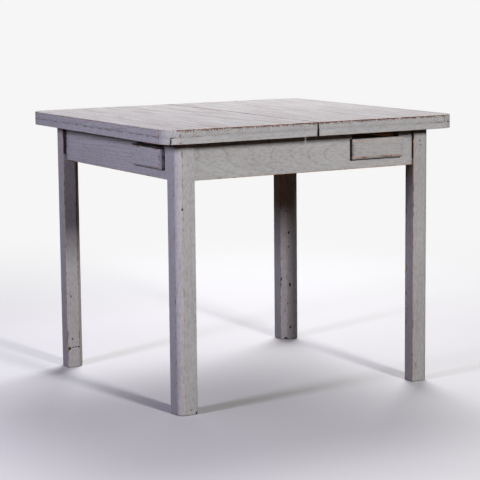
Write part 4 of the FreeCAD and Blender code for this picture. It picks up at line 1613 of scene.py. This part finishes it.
class TABLE_OT_battens(Operator):
    """Make the mitred battens under the top's edges"""

    bl_idname = "table.battens"
    bl_label = "Edge battens"

    def execute(self, context):
        for seed, (half, title) in enumerate(product(HALVES, BATTENS), start=31):
            build_batten(half, title, seed)
        return {"FINISHED"}


class TABLE_OT_drawer_fronts(Operator):
    """Make the lipped drawer fronts"""

    bl_idname = "table.drawer_fronts"
    bl_label = "Drawer fronts"

    def execute(self, context):
        for seed, side in enumerate(SIDES, start=41):
            build_drawer_front(side, seed)
        return {"FINISHED"}


class TABLE_OT_drawer_boxes(Operator):
    """Make the drawers' sides, backs and bottoms"""

    bl_idname = "table.drawer_boxes"
    bl_label = "Drawer boxes"

    def execute(self, context):
        for seed, (side, part) in enumerate(product(SIDES, DRAWER_PARTS), start=51):
            finish = "panel_wood" if part == "bottom" else "bare_wood"
            build_bare(f"{side}_drawer_{part}", finish, seed)
        return {"FINISHED"}


class TABLE_OT_slide(Operator):
    """Make the rails, bearers, runners, lopers and stops inside the frame"""

    bl_idname = "table.slide"
    bl_label = "Slide and runners"

    def execute(self, context):
        names = ["centre_rail", "slide_rail_front", "slide_rail_back"]
        names += [f"{half}_drawer_bearer" for half in HALVES]
        names += [f"{side}_drawer_runners" for side in SIDES]
        for half in HALVES:
            names += [f"{half}_top_front_loper", f"{half}_top_back_loper", f"{half}_top_stop_block"]
        for seed, node in enumerate(names, start=71):
            build_bare(node, "bare_wood", seed)
        return {"FINISHED"}


class TABLE_OT_fixings(Operator):
    """Make the loper screws and the seam dowels"""

    bl_idname = "table.fixings"
    bl_label = "Screws and dowels"

    def execute(self, context):
        for seed, half in enumerate(HALVES, start=91):
            build_screws(half, seed)
        build_dowels(seed=93)
        return {"FINISHED"}


class TABLE_OT_stage(Operator):
    """Make the floor, the soft lights and the camera"""

    bl_idname = "table.stage"
    bl_label = "Stage"

    def execute(self, context):
        stage = context.scene.table_stage
        context.scene.view_settings.view_transform = "Standard"
        add_floor(stage)
        add_world(stage)
        for name, (place, target, size, watts, tint) in LAMPS.items():
            add_softbox(name, place, target, size, getattr(stage, watts), getattr(stage, tint))
        add_camera(stage)
        return {"FINISHED"}


OPERATORS = (
    TABLE_OT_legs,
    TABLE_OT_aprons,
    TABLE_OT_boards,
    TABLE_OT_battens,
    TABLE_OT_drawer_fronts,
    TABLE_OT_drawer_boxes,
    TABLE_OT_slide,
    TABLE_OT_fixings,
    TABLE_OT_stage,
)
SETTINGS = {"table_shape": TableShape, "table_finish": TableFinish, "table_stage": TableStage}


class TABLE_PT_panel(Panel):
    """Lists the table's pieces and settings"""

    bl_label = "Kitchen Table"
    bl_space_type = "VIEW_3D"
    bl_region_type = "UI"
    bl_category = "Table"

    def draw(self, context):
        for operator in OPERATORS:
            self.layout.operator(operator.bl_idname)
        for key, group in SETTINGS.items():
            box = self.layout.box()
            for name in group.__annotations__:
                box.prop(getattr(context.scene, key), name)


CLASSES = (*SETTINGS.values(), *OPERATORS, TABLE_PT_panel)


def register():
    for item in CLASSES:
        bpy.utils.register_class(item)
    for key, group in SETTINGS.items():
        setattr(bpy.types.Scene, key, PointerProperty(type=group))


def unregister():
    for key in SETTINGS:
        delattr(bpy.types.Scene, key)
    for item in reversed(CLASSES):
        bpy.utils.unregister_class(item)


def main():
    """Build every piece and the stage."""
    register()
    bpy.ops.table.legs()
    bpy.ops.table.aprons()
    bpy.ops.table.boards()
    bpy.ops.table.battens()
    bpy.ops.table.drawer_fronts()
    bpy.ops.table.drawer_boxes()
    bpy.ops.table.slide()
    bpy.ops.table.fixings()
    bpy.ops.table.stage()
    bpy.context.view_layer.update()


if __name__ == "__main__":
    main()
